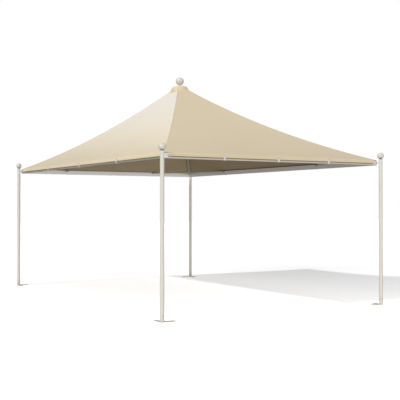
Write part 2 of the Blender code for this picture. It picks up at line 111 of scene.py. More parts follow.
@dataclass(frozen=True)
class Plan:
    """Measures that several sub-assemblies share."""

    half_x: float = 2.0
    half_y: float = 3.0
    gap: float = 0.0003
    post_radius: float = 0.030
    beam_setback: float = 0.045
    beam_width: float = 0.035
    beam_bottom: float = 2.233
    beam_top: float = 2.313
    fold_setback: float = 0.0407
    fold_height: float = 2.3173
    rise: float = 0.948
    sweep: float = 0.429
    curl: float = 0.070
    sheet_room: float = 0.004
    roof_top: float = 0.93
    top_x: float = 0.160
    top_y: float = 0.190
    plateau: float = 3.7430
    hub_radius: float = 0.090

    @property
    def fold_x(self) -> float:
        """Return the X of the roof's fold over the long beams."""
        return self.half_x - self.fold_setback

    @property
    def fold_y(self) -> float:
        """Return the Y of the roof's fold over the short beams."""
        return self.half_y - self.fold_setback

    def depth(self, side: Side) -> float:
        """Return the distance from the middle to the post line of a side."""
        return self.half_x if side.value[0] else self.half_y

    def half_length(self, side: Side) -> float:
        """Return half the length of a side between post axes."""
        return self.half_y if side.value[0] else self.half_x

    @property
    def run_x(self) -> float:
        """Return how much half the roof's X size shrinks as t grows by 1."""
        return (self.fold_x - self.top_x) / self.roof_top

    @property
    def run_y(self) -> float:
        """Return how much half the roof's Y size shrinks as t grows by 1."""
        return (self.fold_y - self.top_y) / self.roof_top

    @property
    def inner_reach(self) -> Pair:
        """Return the X and Y of the beams' inner faces."""
        inside = self.beam_setback + self.beam_width + self.gap
        return self.half_x - inside, self.half_y - inside

    def run(self, side: Side) -> float:
        """Return how far a side's slope comes in as t grows by 1."""
        return self.run_x if side.value[0] else self.run_y

    def spread(self, side: Side, t: float) -> Pair:
        """Return a slope's distance from the middle and half its width at t."""
        half_x, half_y = self.fold_x - self.run_x * t, self.fold_y - self.run_y * t
        return (half_x, half_y) if side.value[0] else (half_y, half_x)

    def fraction(self, place: Vector) -> float:
        """Return the fraction of the way up the roof at a place in plan."""
        return min((self.fold_x - abs(place.x)) / self.run_x, (self.fold_y - abs(place.y)) / self.run_y)

    def roof_height(self, t: float) -> float:
        """Return the roof's height at fraction t of the way to its top."""
        return self.fold_height + self.rise * t + self.sweep * t ** 2 + self.curl * t ** 3

    def roof_slope(self, t: float) -> float:
        """Return how fast the roof rises with t."""
        return self.rise + 2 * self.sweep * t + 3 * self.curl * t ** 2

    def post(self, corner: Corner, z: float = 0.0) -> Vector:
        """Return the point of a post's axis at height z."""
        sx, sy = corner.value
        return Vector((sx * self.half_x, sy * self.half_y, z))


PLAN = Plan()


class Signal:
    """A shader socket that Python's operators turn into Math nodes."""

    def __init__(self, nodes: "Nodes", socket: bpy.types.NodeSocket) -> None:
        """Keep the socket with the tree it belongs to."""
        self.nodes = nodes
        self.socket = socket

    def _math(self, operation: str, *values: "Signal | float") -> "Signal":
        """Add a Math node with these inputs, in order, and return its output."""
        return self.nodes.node("ShaderNodeMath", {"operation": operation}, dict(enumerate(values)))

    def __add__(self, other: "Signal | float") -> "Signal":
        """Return the sum."""
        return self._math("ADD", self, other)

    def __sub__(self, other: "Signal | float") -> "Signal":
        """Return the difference."""
        return self._math("SUBTRACT", self, other)

    def __rsub__(self, other: float) -> "Signal":
        """Return the difference with the number first."""
        return self._math("SUBTRACT", other, self)

    def __mul__(self, other: "Signal | float") -> "Signal":
        """Return the product."""
        return self._math("MULTIPLY", self, other)

    def __pow__(self, other: float) -> "Signal":
        """Return the power."""
        return self._math("POWER", self, other)

    __radd__ = __add__
    __rmul__ = __mul__

    def __abs__(self) -> "Signal":
        """Return the value without its sign."""
        return self._math("ABSOLUTE", self)

    def clamp(self) -> "Signal":
        """Return the value held between 0 and 1."""
        return self._math("MINIMUM", self._math("MAXIMUM", self, 0.0), 1.0)


class Nodes:
    """A node tree and the few ways in which nodes are added to it."""

    def __init__(self, tree: bpy.types.NodeTree) -> None:
        """Keep the tree."""
        self.tree = tree

    def feed(self, socket: bpy.types.NodeSocket, value: object) -> None:
        """Link or set a socket.

        Args:
            socket: The input socket.
            value: A signal to link, or a value to set.
        """
        if isinstance(value, Signal):
            self.tree.links.new(value.socket, socket)
        else:
            socket.default_value = value

    def node(
        self,
        kind: str,
        settings: dict[str, object] | None = None,
        inputs: dict[str | int, object] | None = None,
        output: str | int = 0,
    ) -> Signal:
        """Add a node.

        Args:
            kind: The node's type.
            settings: Its properties, set first. The key stops gives a ramp's stops.
            inputs: Values or signals by socket name or number.
            output: The output that is wanted.

        Returns:
            That output.
        """
        made = self.tree.nodes.new(kind)
        settings = dict(settings or {})
        stops = settings.pop("stops", ())
        for key, value in settings.items():
            setattr(made, key, value)
        for index, (position, level) in enumerate(stops):
            ramp = made.color_ramp.elements
            stop = ramp[index] if index < 2 else ramp.new(position)
            stop.position = position
            stop.color = (level, level, level, 1.0)
        for key, value in (inputs or {}).items():
            self.feed(made.inputs[key], value)
        return Signal(self, made.outputs[output])

    def ramp(self, factor: Signal, stops: Sequence[Pair]) -> Signal:
        """Return the grey level at a factor of a ramp given by positions and levels."""
        return self.node("ShaderNodeValToRGB", {"stops": stops}, {"Fac": factor})

    def blend(self, factor: Signal | float, low: object, high: object) -> Signal:
        """Mix two colours, each a tuple or a signal, by the share of the second."""
        first, second = ((*c, 1.0) if isinstance(c, tuple) else c for c in (low, high))
        return self.node("ShaderNodeMix", {"data_type": "RGBA"}, {0: factor, 6: first, 7: second}, 2)

    def noise(self, place: Signal, scale: float, detail: float = 2.0) -> Signal:
        """Return a noise from 0 to 1, by its cells per metre and octaves of detail."""
        return self.node("ShaderNodeTexNoise", None, {"Vector": place, "Scale": scale, "Detail": detail})

    def stretch(self, place: Signal, scale: Sequence[float]) -> Signal:
        """Scale coordinates by a factor for each axis."""
        return self.node("ShaderNodeVectorMath", {"operation": "MULTIPLY"}, {0: place, 1: tuple(scale)})

    def axis(self, place: Signal, name: str) -> Signal:
        """Return one coordinate, by the letter of its axis."""
        return self.node("ShaderNodeSeparateXYZ", None, {0: place}, name)

    def relief(self, height: Signal) -> Signal:
        """Turn a height in metres into a normal."""
        return self.node("ShaderNodeBump", None, {"Strength": 1.0, "Distance": 1.0, "Height": height})


@dataclass(frozen=True)
class Finish:
    """A surface finish that becomes one procedural material."""

    name: str
    colour: Colour

    def material(self) -> bpy.types.Material:
        """Make the finish's material the first time it is asked for.

        Returns:
            The material.
        """
        known = bpy.data.materials.get(self.name)
        if known is not None:
            return known
        made = bpy.data.materials.new(self.name)
        made.use_nodes = True
        nodes = Nodes(made.node_tree)
        surface = made.node_tree.nodes["Principled BSDF"]
        place = nodes.node("ShaderNodeTexCoord", output="Object")
        for socket, value in self.surface(nodes, place).items():
            nodes.feed(surface.inputs[socket], value)
        return made

    def tinted(self, factor: float) -> Colour:
        """Return the finish's colour times a factor, held at white."""
        return tuple(min(1.0, factor * c) for c in self.colour)

    def surface(self, nodes: Nodes, place: Signal) -> dict[str, object]:
        """Return what feeds the shader's sockets, by their names."""
        raise NotImplementedError


@dataclass(frozen=True)
class PowderCoat(Finish):
    """Baked powder paint with a fine orange peel and dust near the ground."""

    roughness: float
    metallic: float = 0.0
    coat: float = 0.0
    peel: float = 0.00003
    soil: float = 0.35
    soil_height: float = 0.30
    dust: Colour = (0.36, 0.31, 0.24)

    def surface(self, nodes: Nodes, place: Signal) -> dict[str, object]:
        """Draw the paint, its peel and the dust.

        Args:
            nodes: The material's nodes.
            place: The object's coordinates.

        Returns:
            Values or signals by socket name.
        """
        drift = nodes.noise(place, 1.7, 3.0)
        mottle = nodes.noise(place, 38.0, 4.0)
        peel = nodes.noise(place, 900.0, 1.0)
        near_ground = nodes.ramp(nodes.axis(place, "Z") * (1 / self.soil_height), ((0.0, 1.0), (1.0, 0.0)))
        speckle = nodes.ramp(nodes.noise(place, 150.0, 5.0), ((0.45, 0.0), (0.75, 1.0)))
        soil = (near_ground ** 2.0) * (speckle * 0.6 + mottle * 0.5) * self.soil
        tone = nodes.blend((drift * 0.6 + mottle * 0.4).clamp(), self.tinted(0.955), self.tinted(1.035))
        return {
            "Base Color": nodes.blend(soil.clamp(), tone, self.dust),
            "Roughness": (mottle * 0.08 + drift * 0.05 + soil * 0.5 + (self.roughness - 0.06)).clamp(),
            "Metallic": self.metallic,
            "Coat Weight": self.coat,
            "Coat Roughness": 0.25,
            "Normal": nodes.relief(peel * self.peel + mottle * (self.peel * 1.5)),
        }


@dataclass(frozen=True)
class ZincPlate(Finish):
    """Zinc-plated steel with the faint mottle of passivation."""

    roughness: float
    flake_relief: float = 0.00001

    def surface(self, nodes: Nodes, place: Signal) -> dict[str, object]:
        """Draw the flakes and the rolled grain of the plate.

        Args:
            nodes: The material's nodes.
            place: The object's coordinates.

        Returns:
            Values or signals by socket name.
        """
        flake = nodes.node("ShaderNodeTexVoronoi", None, {"Vector": place, "Scale": 120.0}, "Distance")
        cloud = nodes.noise(place, 60.0, 4.0)
        grain = nodes.noise(nodes.stretch(place, (1.0, 1.0, 9.0)), 400.0, 2.0)
        share = (flake * 0.5 + cloud * 0.6).clamp()
        return {
            "Base Color": nodes.blend(share, self.colour, self.tinted(0.86)),
            "Roughness": (cloud * 0.16 + (self.roughness - 0.08)).clamp(),
            "Metallic": 1.0,
            "Normal": nodes.relief(grain * self.flake_relief + flake * self.flake_relief),
        }


@dataclass(frozen=True)
class Canvas(Finish):
    """Coated polyester canvas: a plain weave under a satin coating."""

    shade: Colour
    roughness: float
    coat: float = 0.0
    coat_roughness: float = 0.35
    relief: float = 0.00003
    slub_relief: float = 0.00006
    drape_relief: float = 0.0012
    # Painted light: a pale sheen laid on the left slope and a lighter colour on its hem, on the side where the
    # sun falls.
    painted_sheen: Colour | None = None
    painted_hem_light: Colour | None = None
    painted_sheen_low: float = 2.45
    painted_sheen_high: float = 3.70
    painted_hem_light_low: float = 2.2
    painted_hem_light_high: float = 2.4
    hip_blur: float = 0.025

    def with_painted_light(self, nodes: Nodes, place: Signal, tone: Signal) -> Signal:
        """Paint light on the left slope: a pale painted sheen, more towards the crown, which stays as it was,
        and a lighter painted hem.

        Args:
            nodes: The material's nodes.
            place: The object's coordinates.
            tone: The colour of the canvas where no painted light is laid.

        Returns:
            The colour.
        """
        x, y, z = (nodes.axis(place, name) for name in "XYZ")
        # Masks of the left slope, of its upper part and of its hem, where the painted light goes.
        slope = ((x * (-PLAN.half_y / PLAN.half_x) - abs(y)) * (1 / self.hip_blur)).clamp()
        up_slope = (z - self.painted_sheen_low) * (1 / (self.painted_sheen_high - self.painted_sheen_low))
        rise = nodes.ramp(up_slope, ((0.0, 0.0), (0.72, 1.0), (0.86, 1.0), (0.95, 0.0)))
        up_hem = (z - self.painted_hem_light_low) * (1 / (self.painted_hem_light_high - self.painted_hem_light_low))
        hem = nodes.ramp(up_hem, ((0.5, 1.0), (0.62, 0.0)))
        return nodes.blend(slope * hem, nodes.blend(slope * rise, tone, self.painted_sheen), self.painted_hem_light)

    def surface(self, nodes: Nodes, place: Signal) -> dict[str, object]:
        """Draw the weave, its slubs, the drape and the painted sheen and lit hem of the left slope.

        Args:
            nodes: The material's nodes.
            place: The object's coordinates.

        Returns:
            Values or signals by socket name.
        """
        warp = nodes.noise(nodes.stretch(place, (6.0, 1.0, 1.0)), 160.0, 2.0)
        pick = nodes.noise(nodes.stretch(place, (1.0, 6.0, 3.0)), 160.0, 2.0)
        weave = (warp + pick) * 0.5
        slub = nodes.noise(nodes.stretch(place, (9.0, 1.0, 1.0)), 22.0, 3.0)
        weft = nodes.noise(nodes.stretch(place, (1.0, 9.0, 4.0)), 22.0, 3.0)
        cloud = nodes.noise(place, 0.9, 4.0)
        mottle = nodes.noise(place, 14.0, 5.0)
        share = (cloud * 0.55 + mottle * 0.2 + (slub + weft) * 0.16).clamp()
        drape = nodes.noise(place, 3.2, 2.0)
        tone = nodes.blend(nodes.ramp(share, ((0.36, 0.0), (0.68, 1.0))), self.shade, self.colour)
        return {
            "Base Color": self.with_painted_light(nodes, place, tone) if self.painted_sheen else tone,
            "Roughness": (mottle * 0.07 + weave * 0.03 + (self.roughness - 0.05)).clamp(),
            "Coat Weight": self.coat,
            "Coat Roughness": self.coat_roughness,
            "Normal": nodes.relief(weave * self.relief + (slub + weft) * self.slub_relief
                                   + drape * self.drape_relief),
        }


@dataclass(frozen=True)
class SpunThread(Finish):
    """Twisted polyester thread or piping cover with a fine ribbed relief."""

    ply: float = 120.0
    twist_relief: float = 0.00008
    fuzz_relief: float = 0.00003

    def surface(self, nodes: Nodes, place: Signal) -> dict[str, object]:
        """Draw the twist and the fuzz of the yarn.

        Args:
            nodes: The material's nodes.
            place: The object's coordinates.

        Returns:
            Values or signals by socket name.
        """
        twist = nodes.noise(nodes.stretch(place, (1.0, 1.0, 2.5)), self.ply, 2.0)
        fuzz = nodes.noise(place, 500.0, 3.0)
        share = (twist * 0.5 + fuzz * 0.5).clamp()
        return {
            "Base Color": nodes.blend(share, self.tinted(0.82), self.colour),
            "Roughness": (fuzz * 0.15 + 0.62).clamp(),
            "Normal": nodes.relief(twist * self.twist_relief + fuzz * self.fuzz_relief),
        }


POST_COAT = PowderCoat("post_powder_coat", (0.70, 0.665, 0.59), 0.42)
BALL_COAT = PowderCoat("ball_powder_coat", (0.66, 0.635, 0.575), 0.34, coat=0.25)
FOOT_COAT = PowderCoat("foot_powder_coat", (0.62, 0.59, 0.52), 0.50, soil=0.8, soil_height=0.05)
BEAM_COAT = PowderCoat("frame_powder_coat", (0.54, 0.488, 0.42), 0.42, metallic=0.45, soil=0.0)
# A lighter copy of the frame coat for the beams' inner faces: painted light.
INNER_FACE_PAINTED_LIGHT_COAT = PowderCoat("frame_powder_coat_inside_painted_light", (0.88, 0.875, 0.85), 0.42, soil=0.0)
CLIP_COAT = PowderCoat("clip_powder_coat", (0.68, 0.665, 0.63), 0.42, soil=0.0)
ZINC = ZincPlate("zinc_plated_steel", (0.78, 0.77, 0.74), 0.42)
STEEL = ZincPlate("stainless_fastener", (0.46, 0.45, 0.43), 0.30)
# The outer canvas carries painted light on its left slope: a pale painted sheen and a lighter painted hem.
OUTER_CANVAS = Canvas("cover_canvas_outer", (0.73, 0.61, 0.40), (0.695, 0.58, 0.38), 0.55, 0.5, 0.18,
                      painted_sheen=(0.66, 0.60, 0.50), painted_hem_light=(0.86, 0.74, 0.51))
# The inner face is a darker copy of the outer canvas: painted shade under the roof.
INNER_CANVAS_PAINTED_SHADE = Canvas("cover_canvas_inner_painted_shade", (0.41, 0.315, 0.185), (0.38, 0.29, 0.17), 0.75)
THREAD = SpunThread("seam_thread", (0.60, 0.52, 0.38))
# The piping cord is real, but its dark colour paints the shade line under the hem.
PIPING_PAINTED_SHADE = SpunThread("hem_piping_painted_shade", (0.225, 0.175, 0.09), 90.0)
# Dark rubber for the crown's seal. On the posts it fills the groove under each ball as painted shade.
RUBBER_AND_PAINTED_SHADE = SpunThread("seal_rubber_and_painted_shade", (0.05, 0.048, 0.045), 60.0)


def turns(count: int) -> list[float]:
    """Return equally spaced angles round a circle, from 0."""
    return [2 * math.pi * k / count for k in range(count)]


def circle(radius: float, count: int) -> list[Pair]:
    """Return equally spaced points of a circle about the origin."""
    return [(radius * math.cos(a), radius * math.sin(a)) for a in turns(count)]


def section(middle: Vector, across: Vector, up: Vector, loop: Iterable[Pair]) -> list[Vector]:
    """Return the points of a flat loop laid out along two directions."""
    return [middle + across * a + up * b for a, b in loop]


class Shape:
    """Points and faces of one piece, gathered before it becomes an object."""

    def __init__(self) -> None:
        """Start with nothing."""
        self.points: list[Vector] = []
        self.faces: list[list[int]] = []
        self.coats: list[int] = []

    def ring(self, points: Iterable[Vector]) -> list[int]:
        """Add points.

        Args:
            points: The points.

        Returns:
            Their numbers.
        """
        start = len(self.points)
        self.points.extend(Vector(p) for p in points)
        return list(range(start, len(self.points)))

    def face(self, corners: Sequence[int], coat: int = 0) -> None:
        """Add one face with the number of its finish."""
        self.faces.append(list(corners))
        self.coats.append(coat)

    def bridge(self, low: Sequence[int], high: Sequence[int], coat: int = 0) -> None:
        """Join two closed rings, either of which may be a single point.

        Args:
            low: Numbers of the first ring.
            high: Numbers of the second ring.
            coat: Number of the finish.
        """
        count = max(len(low), len(high))
        for i in range(count):
            j = (i + 1) % count
            corners = [low[i % len(low)], low[j % len(low)], high[j % len(high)], high[i % len(high)]]
            self.face(list(dict.fromkeys(corners)), coat)

    def skin(self, rings: Sequence[Iterable[Vector]], coat: int = 0, looped: bool = False) -> None:
        """Skin rings of points, capped at both ends unless looped.

        Args:
            rings: The rings, with equal numbers of points.
            coat: Number of the finish.
            looped: Whether the last ring joins the first.
        """
        rows = [self.ring(points) for points in rings]
        for low, high in zip(rows, rows[1:]):
            self.bridge(low, high, coat)
        if looped:
            self.bridge(rows[-1], rows[0], coat)
            return
        for end in (rows[0], rows[-1]):
            if len(end) > 2:
                self.face(end, coat)

    def lathe(
        self,
        profile: Sequence[tuple[float, ...]],
        place: Matrix,
        sides: int = 48,
        coat: int = 0,
    ) -> None:
        """Turn a profile about the Z axis of a placement.

        Args:
            profile: Radius and height of each ring, and 1 as a third value where
                the ring is a hexagon. Radius 0 is a point on the axis.
            place: Where the axis stands.
            sides: Faces round the axis.
            coat: Number of the finish.
        """
        rings = []
        flat = math.pi / 6
        for radius, height, *hexagon in profile:
            ring = []
            for angle in turns(1 if radius == 0 else sides):
                reach = radius
                if hexagon:
                    reach *= math.cos(flat) / math.cos(angle % (2 * flat) - flat)
                ring.append(place @ Vector((reach * math.cos(angle), reach * math.sin(angle), height)))
            rings.append(ring)
        self.skin(rings, coat, looped=profile[0][0] != 0)

    def bead(self, path: Sequence[Vector], radius: float) -> None:
        """Lay a round bead, such as a weld, along a closed path.

        Args:
            path: Points of the path.
            radius: Radius of the bead.
        """
        rings = []
        side = UP
        for i, point in enumerate(path):
            run = (path[(i + 1) % len(path)] - path[i - 1]).normalized()
            share = side.dot(run)
            side = (side - run * share if abs(share) < 0.98 else run.orthogonal()).normalized()
            swell = radius * (1 + BEAD_SWELL * math.sin(2.4 * i))
            rings.append(section(point, side, run.cross(side), circle(swell, BEAD_SIDES)))
        self.skin(rings, looped=True)

    def stitches(self, path: Sequence[Vector], lift: Sequence[Vector], pitch: float) -> None:
        """Sew a row of stitches along a path.

        Args:
            path: Closely spaced points of the seam.
            lift: Outward direction of the cloth at each of them.
            pitch: Distance from stitch to stitch.
        """
        line = np.array(path)
        along = np.concatenate([[0.0], np.cumsum(np.linalg.norm(np.diff(line, axis=0), axis=1))])
        normals = np.array(lift)

        def at(values: np.ndarray, distance: float) -> Vector:
            """Return the value at a distance along the path."""
            return Vector([float(np.interp(distance, along, values[:, k])) for k in range(3)])

        for i in range(int(along[-1] / pitch)):
            start = at(line, (i + STITCH_GAP) * pitch)
            end = at(line, (i + 1 - STITCH_GAP) * pitch)
            up = at(normals, (i + 0.5) * pitch).normalized()
            aside = (end - start).cross(up).normalized() * THREAD_RADIUS
            middle = (start + end) / 2
            tips = self.ring([start, end])
            crown, foot = middle + up * THREAD_RISE, middle - up * THREAD_SINK
            waist = self.ring([crown, middle + aside, foot, middle - aside])
            for tip in tips:
                self.bridge([tip], waist)

    def finished(self, name: str, coats: Sequence[Finish], sharp: float = 35.0) -> bpy.types.Object:
        """Make the object.

        Args:
            name: Name of the piece.
            coats: Its finishes, in the order of their numbers.
            sharp: Angle in degrees from which an edge stays sharp.

        Returns:
            The object, linked to the scene.
        """
        mesh = bpy.data.meshes.new(name)
        mesh.from_pydata(self.points, [], self.faces)
        mesh.polygons.foreach_set("material_index", self.coats)
        builder = bmesh.new()
        builder.from_mesh(mesh)
        bmesh.ops.recalc_face_normals(builder, faces=builder.faces)
        builder.to_mesh(mesh)
        builder.free()
        for coat in coats:
            mesh.materials.append(coat.material())
        mesh.shade_smooth()
        mesh.set_sharp_from_angle(angle=math.radians(sharp))
        piece = bpy.data.objects.new(name, mesh)
        bpy.context.scene.collection.objects.link(piece)
        return piece


def hand_over(piece: bpy.types.Object, slot: str, nodes: Sequence[str] = ()) -> bpy.types.Object:
    """Attach a piece to the root body, hide the model's nodes that it stands for and log its material slot.

    Args:
        piece: The piece.
        slot: Name of its material slot, which is only logged.
        nodes: Nodes of the model that it replaces.

    Returns:
        The piece.
    """
    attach(piece, "root")
    if nodes:
        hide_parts(*nodes)
    LOG.info("%s: %d faces, %s", piece.name, len(piece.data.polygons), slot)
    return piece


def aimed(seat: Vector, outward: Vector) -> Matrix:
    """Return a placement whose Z axis points outward from a seat."""
    return Matrix.Translation(seat) @ outward.to_track_quat("Z", "Y").to_matrix().to_4x4()


def smooth_loop(half_width: float, half_height: float, radius: float, steps: int = 5) -> list[Pair]:
    """Return a rounded rectangle about the origin.

    Args:
        half_width: Half its first size.
        half_height: Half its second size.
        radius: Radius of its corners.
        steps: Segments to a corner.

    Returns:
        Its points, anticlockwise.
    """
    loop = []
    for quarter, (su, sv) in enumerate(((1, 1), (-1, 1), (-1, -1), (1, -1))):
        for k in range(steps + 1):
            angle = math.pi / 2 * (quarter + k / steps)
            loop.append((su * (half_width - radius) + radius * math.cos(angle),
                         sv * (half_height - radius) + radius * math.sin(angle)))
    return loop


def arc(radius: float, middle: float, last: float, steps: int) -> list[Pair]:
    """Return radius and height of a sphere's rings from its top to an angle."""
    angles = [last * i / steps for i in range(steps + 1)]
    return [(radius * math.sin(a) if a else 0.0, middle + radius * math.cos(a)) for a in angles]


class Head(Enum):
    """The kinds of fastener end."""

    DOME = "low dome with a hexagon socket"
    HEXAGON = "hexagon head"
    CAP = "domed cap nut"


@dataclass(frozen=True)
class Fastener:
    """A bolt head or nut on its washer. Its size is the thread's diameter."""

    head: Head
    size: float

    def profile(self) -> list[tuple[float, ...]]:
        """Draw the turned profile from its top to the washer's seat.

        Returns:
            Radius and height of each ring in thread diameters, and 1 as a third
            value where the ring is a hexagon.
        """
        washer = [(1.08, 0.16), (1.12, 0.12), (1.12, 0.03), (1.09, 0.0), (0, 0.0)]
        if self.head is Head.DOME:
            return [(0, 0.44), (0.30, 0.44, 1), (0.31, 0.74, 1), (0.36, 0.76), (0.56, 0.72),
                    (0.74, 0.60), (0.86, 0.42), (0.90, 0.24), (0.88, 0.16)] + washer
        if self.head is Head.HEXAGON:
            return [(0, 0.80), (0.70, 0.80), (0.76, 0.79), (0.92, 0.71, 1), (0.92, 0.16, 1)] + washer
        return [(0, 1.42), (0.22, 1.39), (0.42, 1.28), (0.55, 1.08), (0.60, 0.80), (0.62, 0.68),
                (0.76, 0.66), (0.92, 0.58, 1), (0.92, 0.16, 1)] + washer

    def draw(self, shape: Shape, seat: Vector, outward: Vector, coat: int = 0) -> None:
        """Add the fastener to a shape, with its washer's middle on the seat."""
        profile = [(r * self.size, z * self.size, *h) for r, z, *h in self.profile()]
        shape.lathe(profile, aimed(seat, outward), 24, coat)


@dataclass
class Post:
    """One corner post with its foot, its finial, its through bolts and its bracket."""

    corner: Corner
    wall: float = 0.002
    foot_reach: float = 0.200
    foot_width: float = 0.060
    foot_thickness: float = 0.010
    foot_corner: float = 0.008
    chamfer: float = 0.0012
    spigot_height: float = 0.160
    spigot_wall: float = 0.003
    spigot_bottom: float = 0.008
    hole_radius: float = 0.006
    hole_inset: float = 0.030
    countersink: float = 0.0015
    drill_over: float = 0.01
    rim: float = 0.0006
    ball_radius: float = 0.052
    ball_height: float = 2.388
    ball_foot: float = 0.0296
    groove: float = 0.0105
    groove_radius: float = 0.0240
    painted_shade_collar_radius: float = 0.0288
    plug_length: float = 0.041
    bolts: tuple[Pair, ...] = ((0.087, 0.008), (2.147, 0.006))
    bolt_sink: float = 0.001
    bracket_leg: float = 0.065
    bracket_plate: float = 0.004
    bracket_bend: float = 0.006
    bracket_round_off: float = 0.008
    bracket_bottom: float = 2.246
    bracket_top: float = 2.304
    bracket_bolt: float = 0.0075
    bracket_bolt_reach: float = 0.087
    bracket_bolt_height: float = 2.278
    link_half: float = 0.009
    link_middle: float = 2.274
    link_weld: float = 0.0022

    @property
    def seat(self) -> float:
        """Return the height at which the post's rim meets the ball."""
        return self.ball_height - math.sqrt(self.ball_radius ** 2 - PLAN.post_radius ** 2)

    def standing(self) -> Matrix:
        """Return the placement of the post's axis at ground level."""
        return Matrix.Translation(PLAN.post(self.corner))

    def outline(self, inset: float) -> list[Vector]:
        """Return the foot's rounded L in plan.

        Args:
            inset: How far the outline is drawn in.

        Returns:
            Points at ground level.
        """
        near, far = self.foot_width / 2 - inset, self.foot_reach - inset
        corners = [(-near, -near), (far, -near), (far, near), (near, near), (near, far), (-near, far)]
        radius = self.foot_corner - inset
        sx, sy = self.corner.value
        centre = PLAN.post(self.corner)
        points = []
        for i, corner in enumerate(corners):
            here = Vector(corner)
            back = (Vector(corners[i - 1]) - here).normalized()
            ahead = (Vector(corners[(i + 1) % 6]) - here).normalized()
            bend = radius if i != 3 else self.foot_corner + inset
            middle = here + (back + ahead) * bend
            for k in range(6):
                arm = (-ahead).lerp(-back, k / 5).normalized() * bend
                spot = middle + arm
                points.append(centre + Vector((-sx * spot.x, -sy * spot.y, 0.0)))
        return points

    def foot(self) -> None:
        """Build the foot: an L of plate with anchor holes and a spigot."""
        body = Shape()
        rims = [(self.chamfer / 2, 0.0), (0.0, self.chamfer / 2),
                (0.0, self.foot_thickness - self.chamfer), (self.chamfer, self.foot_thickness)]
        body.skin([[p + UP * z for p in self.outline(inset)] for inset, z in rims])
        plate = body.finished(f"foot_plate_{self.corner.label}", [FOOT_COAT])
        drills = Shape()
        reach = self.foot_reach - self.hole_inset
        sx, sy = self.corner.value
        sunk, over = self.hole_radius + self.countersink, self.drill_over
        top = self.foot_thickness
        for across in (Vector((-sx * reach, 0, 0)), Vector((0, -sy * reach, 0))):
            place = Matrix.Translation(PLAN.post(self.corner) + across)
            drills.lathe([(0, -over), (self.hole_radius, -over), (self.hole_radius, top - self.countersink),
                          (sunk, top), (sunk, top + over), (0, top + over)], place, 32)
        cutter = drills.finished("anchor_drill", [FOOT_COAT])
        cut = plate.modifiers.new("holes", "BOOLEAN")
        cut.operation, cut.solver, cut.object = "DIFFERENCE", "EXACT", cutter
        view = plate.evaluated_get(bpy.context.evaluated_depsgraph_get())
        mesh = bpy.data.meshes.new_from_object(view)
        plate.modifiers.clear()
        plate.data = mesh
        bpy.data.objects.remove(cutter)
        mesh.set_sharp_from_angle(angle=math.radians(30))
        spigot = Shape()
        outside = PLAN.post_radius - self.wall - PLAN.gap
        inside = outside - self.spigot_wall
        low, high = self.spigot_bottom, self.foot_thickness + self.spigot_height
        spigot.lathe([(outside, low), (outside, high), (inside, high), (inside, low)], self.standing())
        tube = spigot.finished(f"foot_spigot_{self.corner.label}", [FOOT_COAT])
        hand_over(tube, "foot_paint")
        hand_over(plate, "foot_paint", [f"foot_{self.corner.label}"])

    def tube(self) -> None:
        """Build the post's tube with rounded rims."""
        outside, inside = PLAN.post_radius, PLAN.post_radius - self.wall
        low, high = self.foot_thickness + PLAN.gap, self.seat - self.groove
        rim = self.rim
        profile = [(inside, low), (outside - rim, low)]
        profile += [(outside, float(z)) for z in np.linspace(low + rim, high - rim, 13)]
        profile += [(outside - rim, high), (inside, high)]
        shape = Shape()
        shape.lathe(profile, self.standing(), 64)
        hand_over(shape.finished(f"post_tube_{self.corner.label}", [POST_COAT]),
                  "post_paint", [f"post_{self.corner.label}"])

    def finial(self) -> None:
        """Build the ball, the dark collar in the groove under it, which paints the shade under the ball, and
        the plug in the post.
        """
        plug = PLAN.post_radius - self.wall - PLAN.gap
        seat, neck, collar = self.seat, self.groove_radius, self.painted_shade_collar_radius
        rim, end = seat - self.groove, seat - self.plug_length
        foot = math.pi - math.asin(self.ball_foot / self.ball_radius)
        profile = arc(self.ball_radius, self.ball_height, foot, 28)
        profile += [(neck + 0.0040, seat + 0.0004), (neck + 0.0015, seat + 0.0010), (neck, seat - 0.0004),
                    (neck, rim + 0.0012), (neck + 0.0015, rim + 0.0004), (plug, rim),
                    (plug, end + 0.001), (plug - 0.001, end), (0, end)]
        shape = Shape()
        shape.lathe(profile, self.standing(), 56)
        # The dark collar fills the groove: painted shade between ball and post.
        inner, bevel = neck + PLAN.gap, collar - 0.0008
        shape.lathe([(inner, rim + 0.0006), (bevel, rim + 0.0006), (collar, rim + 0.0014),
                     (collar, seat - 0.0014), (bevel, seat - 0.0006), (inner, seat - 0.0006)],
                    self.standing(), 56, 1)
        hand_over(shape.finished(f"post_finial_{self.corner.label}", [BALL_COAT, RUBBER_AND_PAINTED_SHADE]),
                  "ball_paint", [f"post_ball_{self.corner.label}"])

    def through_bolts(self) -> None:
        """Build the bolts that lock the post on its spigot and hold its head."""
        sx, sy = self.corner.value
        along = Vector((0, -1, 0)) if sx == sy else Vector((-1, 0, 0))
        reach = PLAN.post_radius - self.bolt_sink
        shape = Shape()
        for height, size in self.bolts:
            middle = PLAN.post(self.corner, height)
            Fastener(Head.DOME, size).draw(shape, middle + along * reach, along)
            Fastener(Head.CAP, size).draw(shape, middle - along * reach, -along)
        hand_over(shape.finished(f"post_bolts_{self.corner.label}", [STEEL]), "bracket_zinc")

    def bracket(self) -> None:
        """Build the bent plate on the frame's corner, its link and its welds."""
        sx, sy = self.corner.value
        centre = PLAN.post(self.corner)
        face = PLAN.beam_setback - PLAN.gap
        middle_line = face - self.bracket_plate / 2
        reach = PLAN.beam_setback + self.bracket_leg
        half_height = (self.bracket_top - self.bracket_bottom) / 2
        level = (self.bracket_top + self.bracket_bottom) / 2
        bend, round_off = self.bracket_bend, self.bracket_round_off

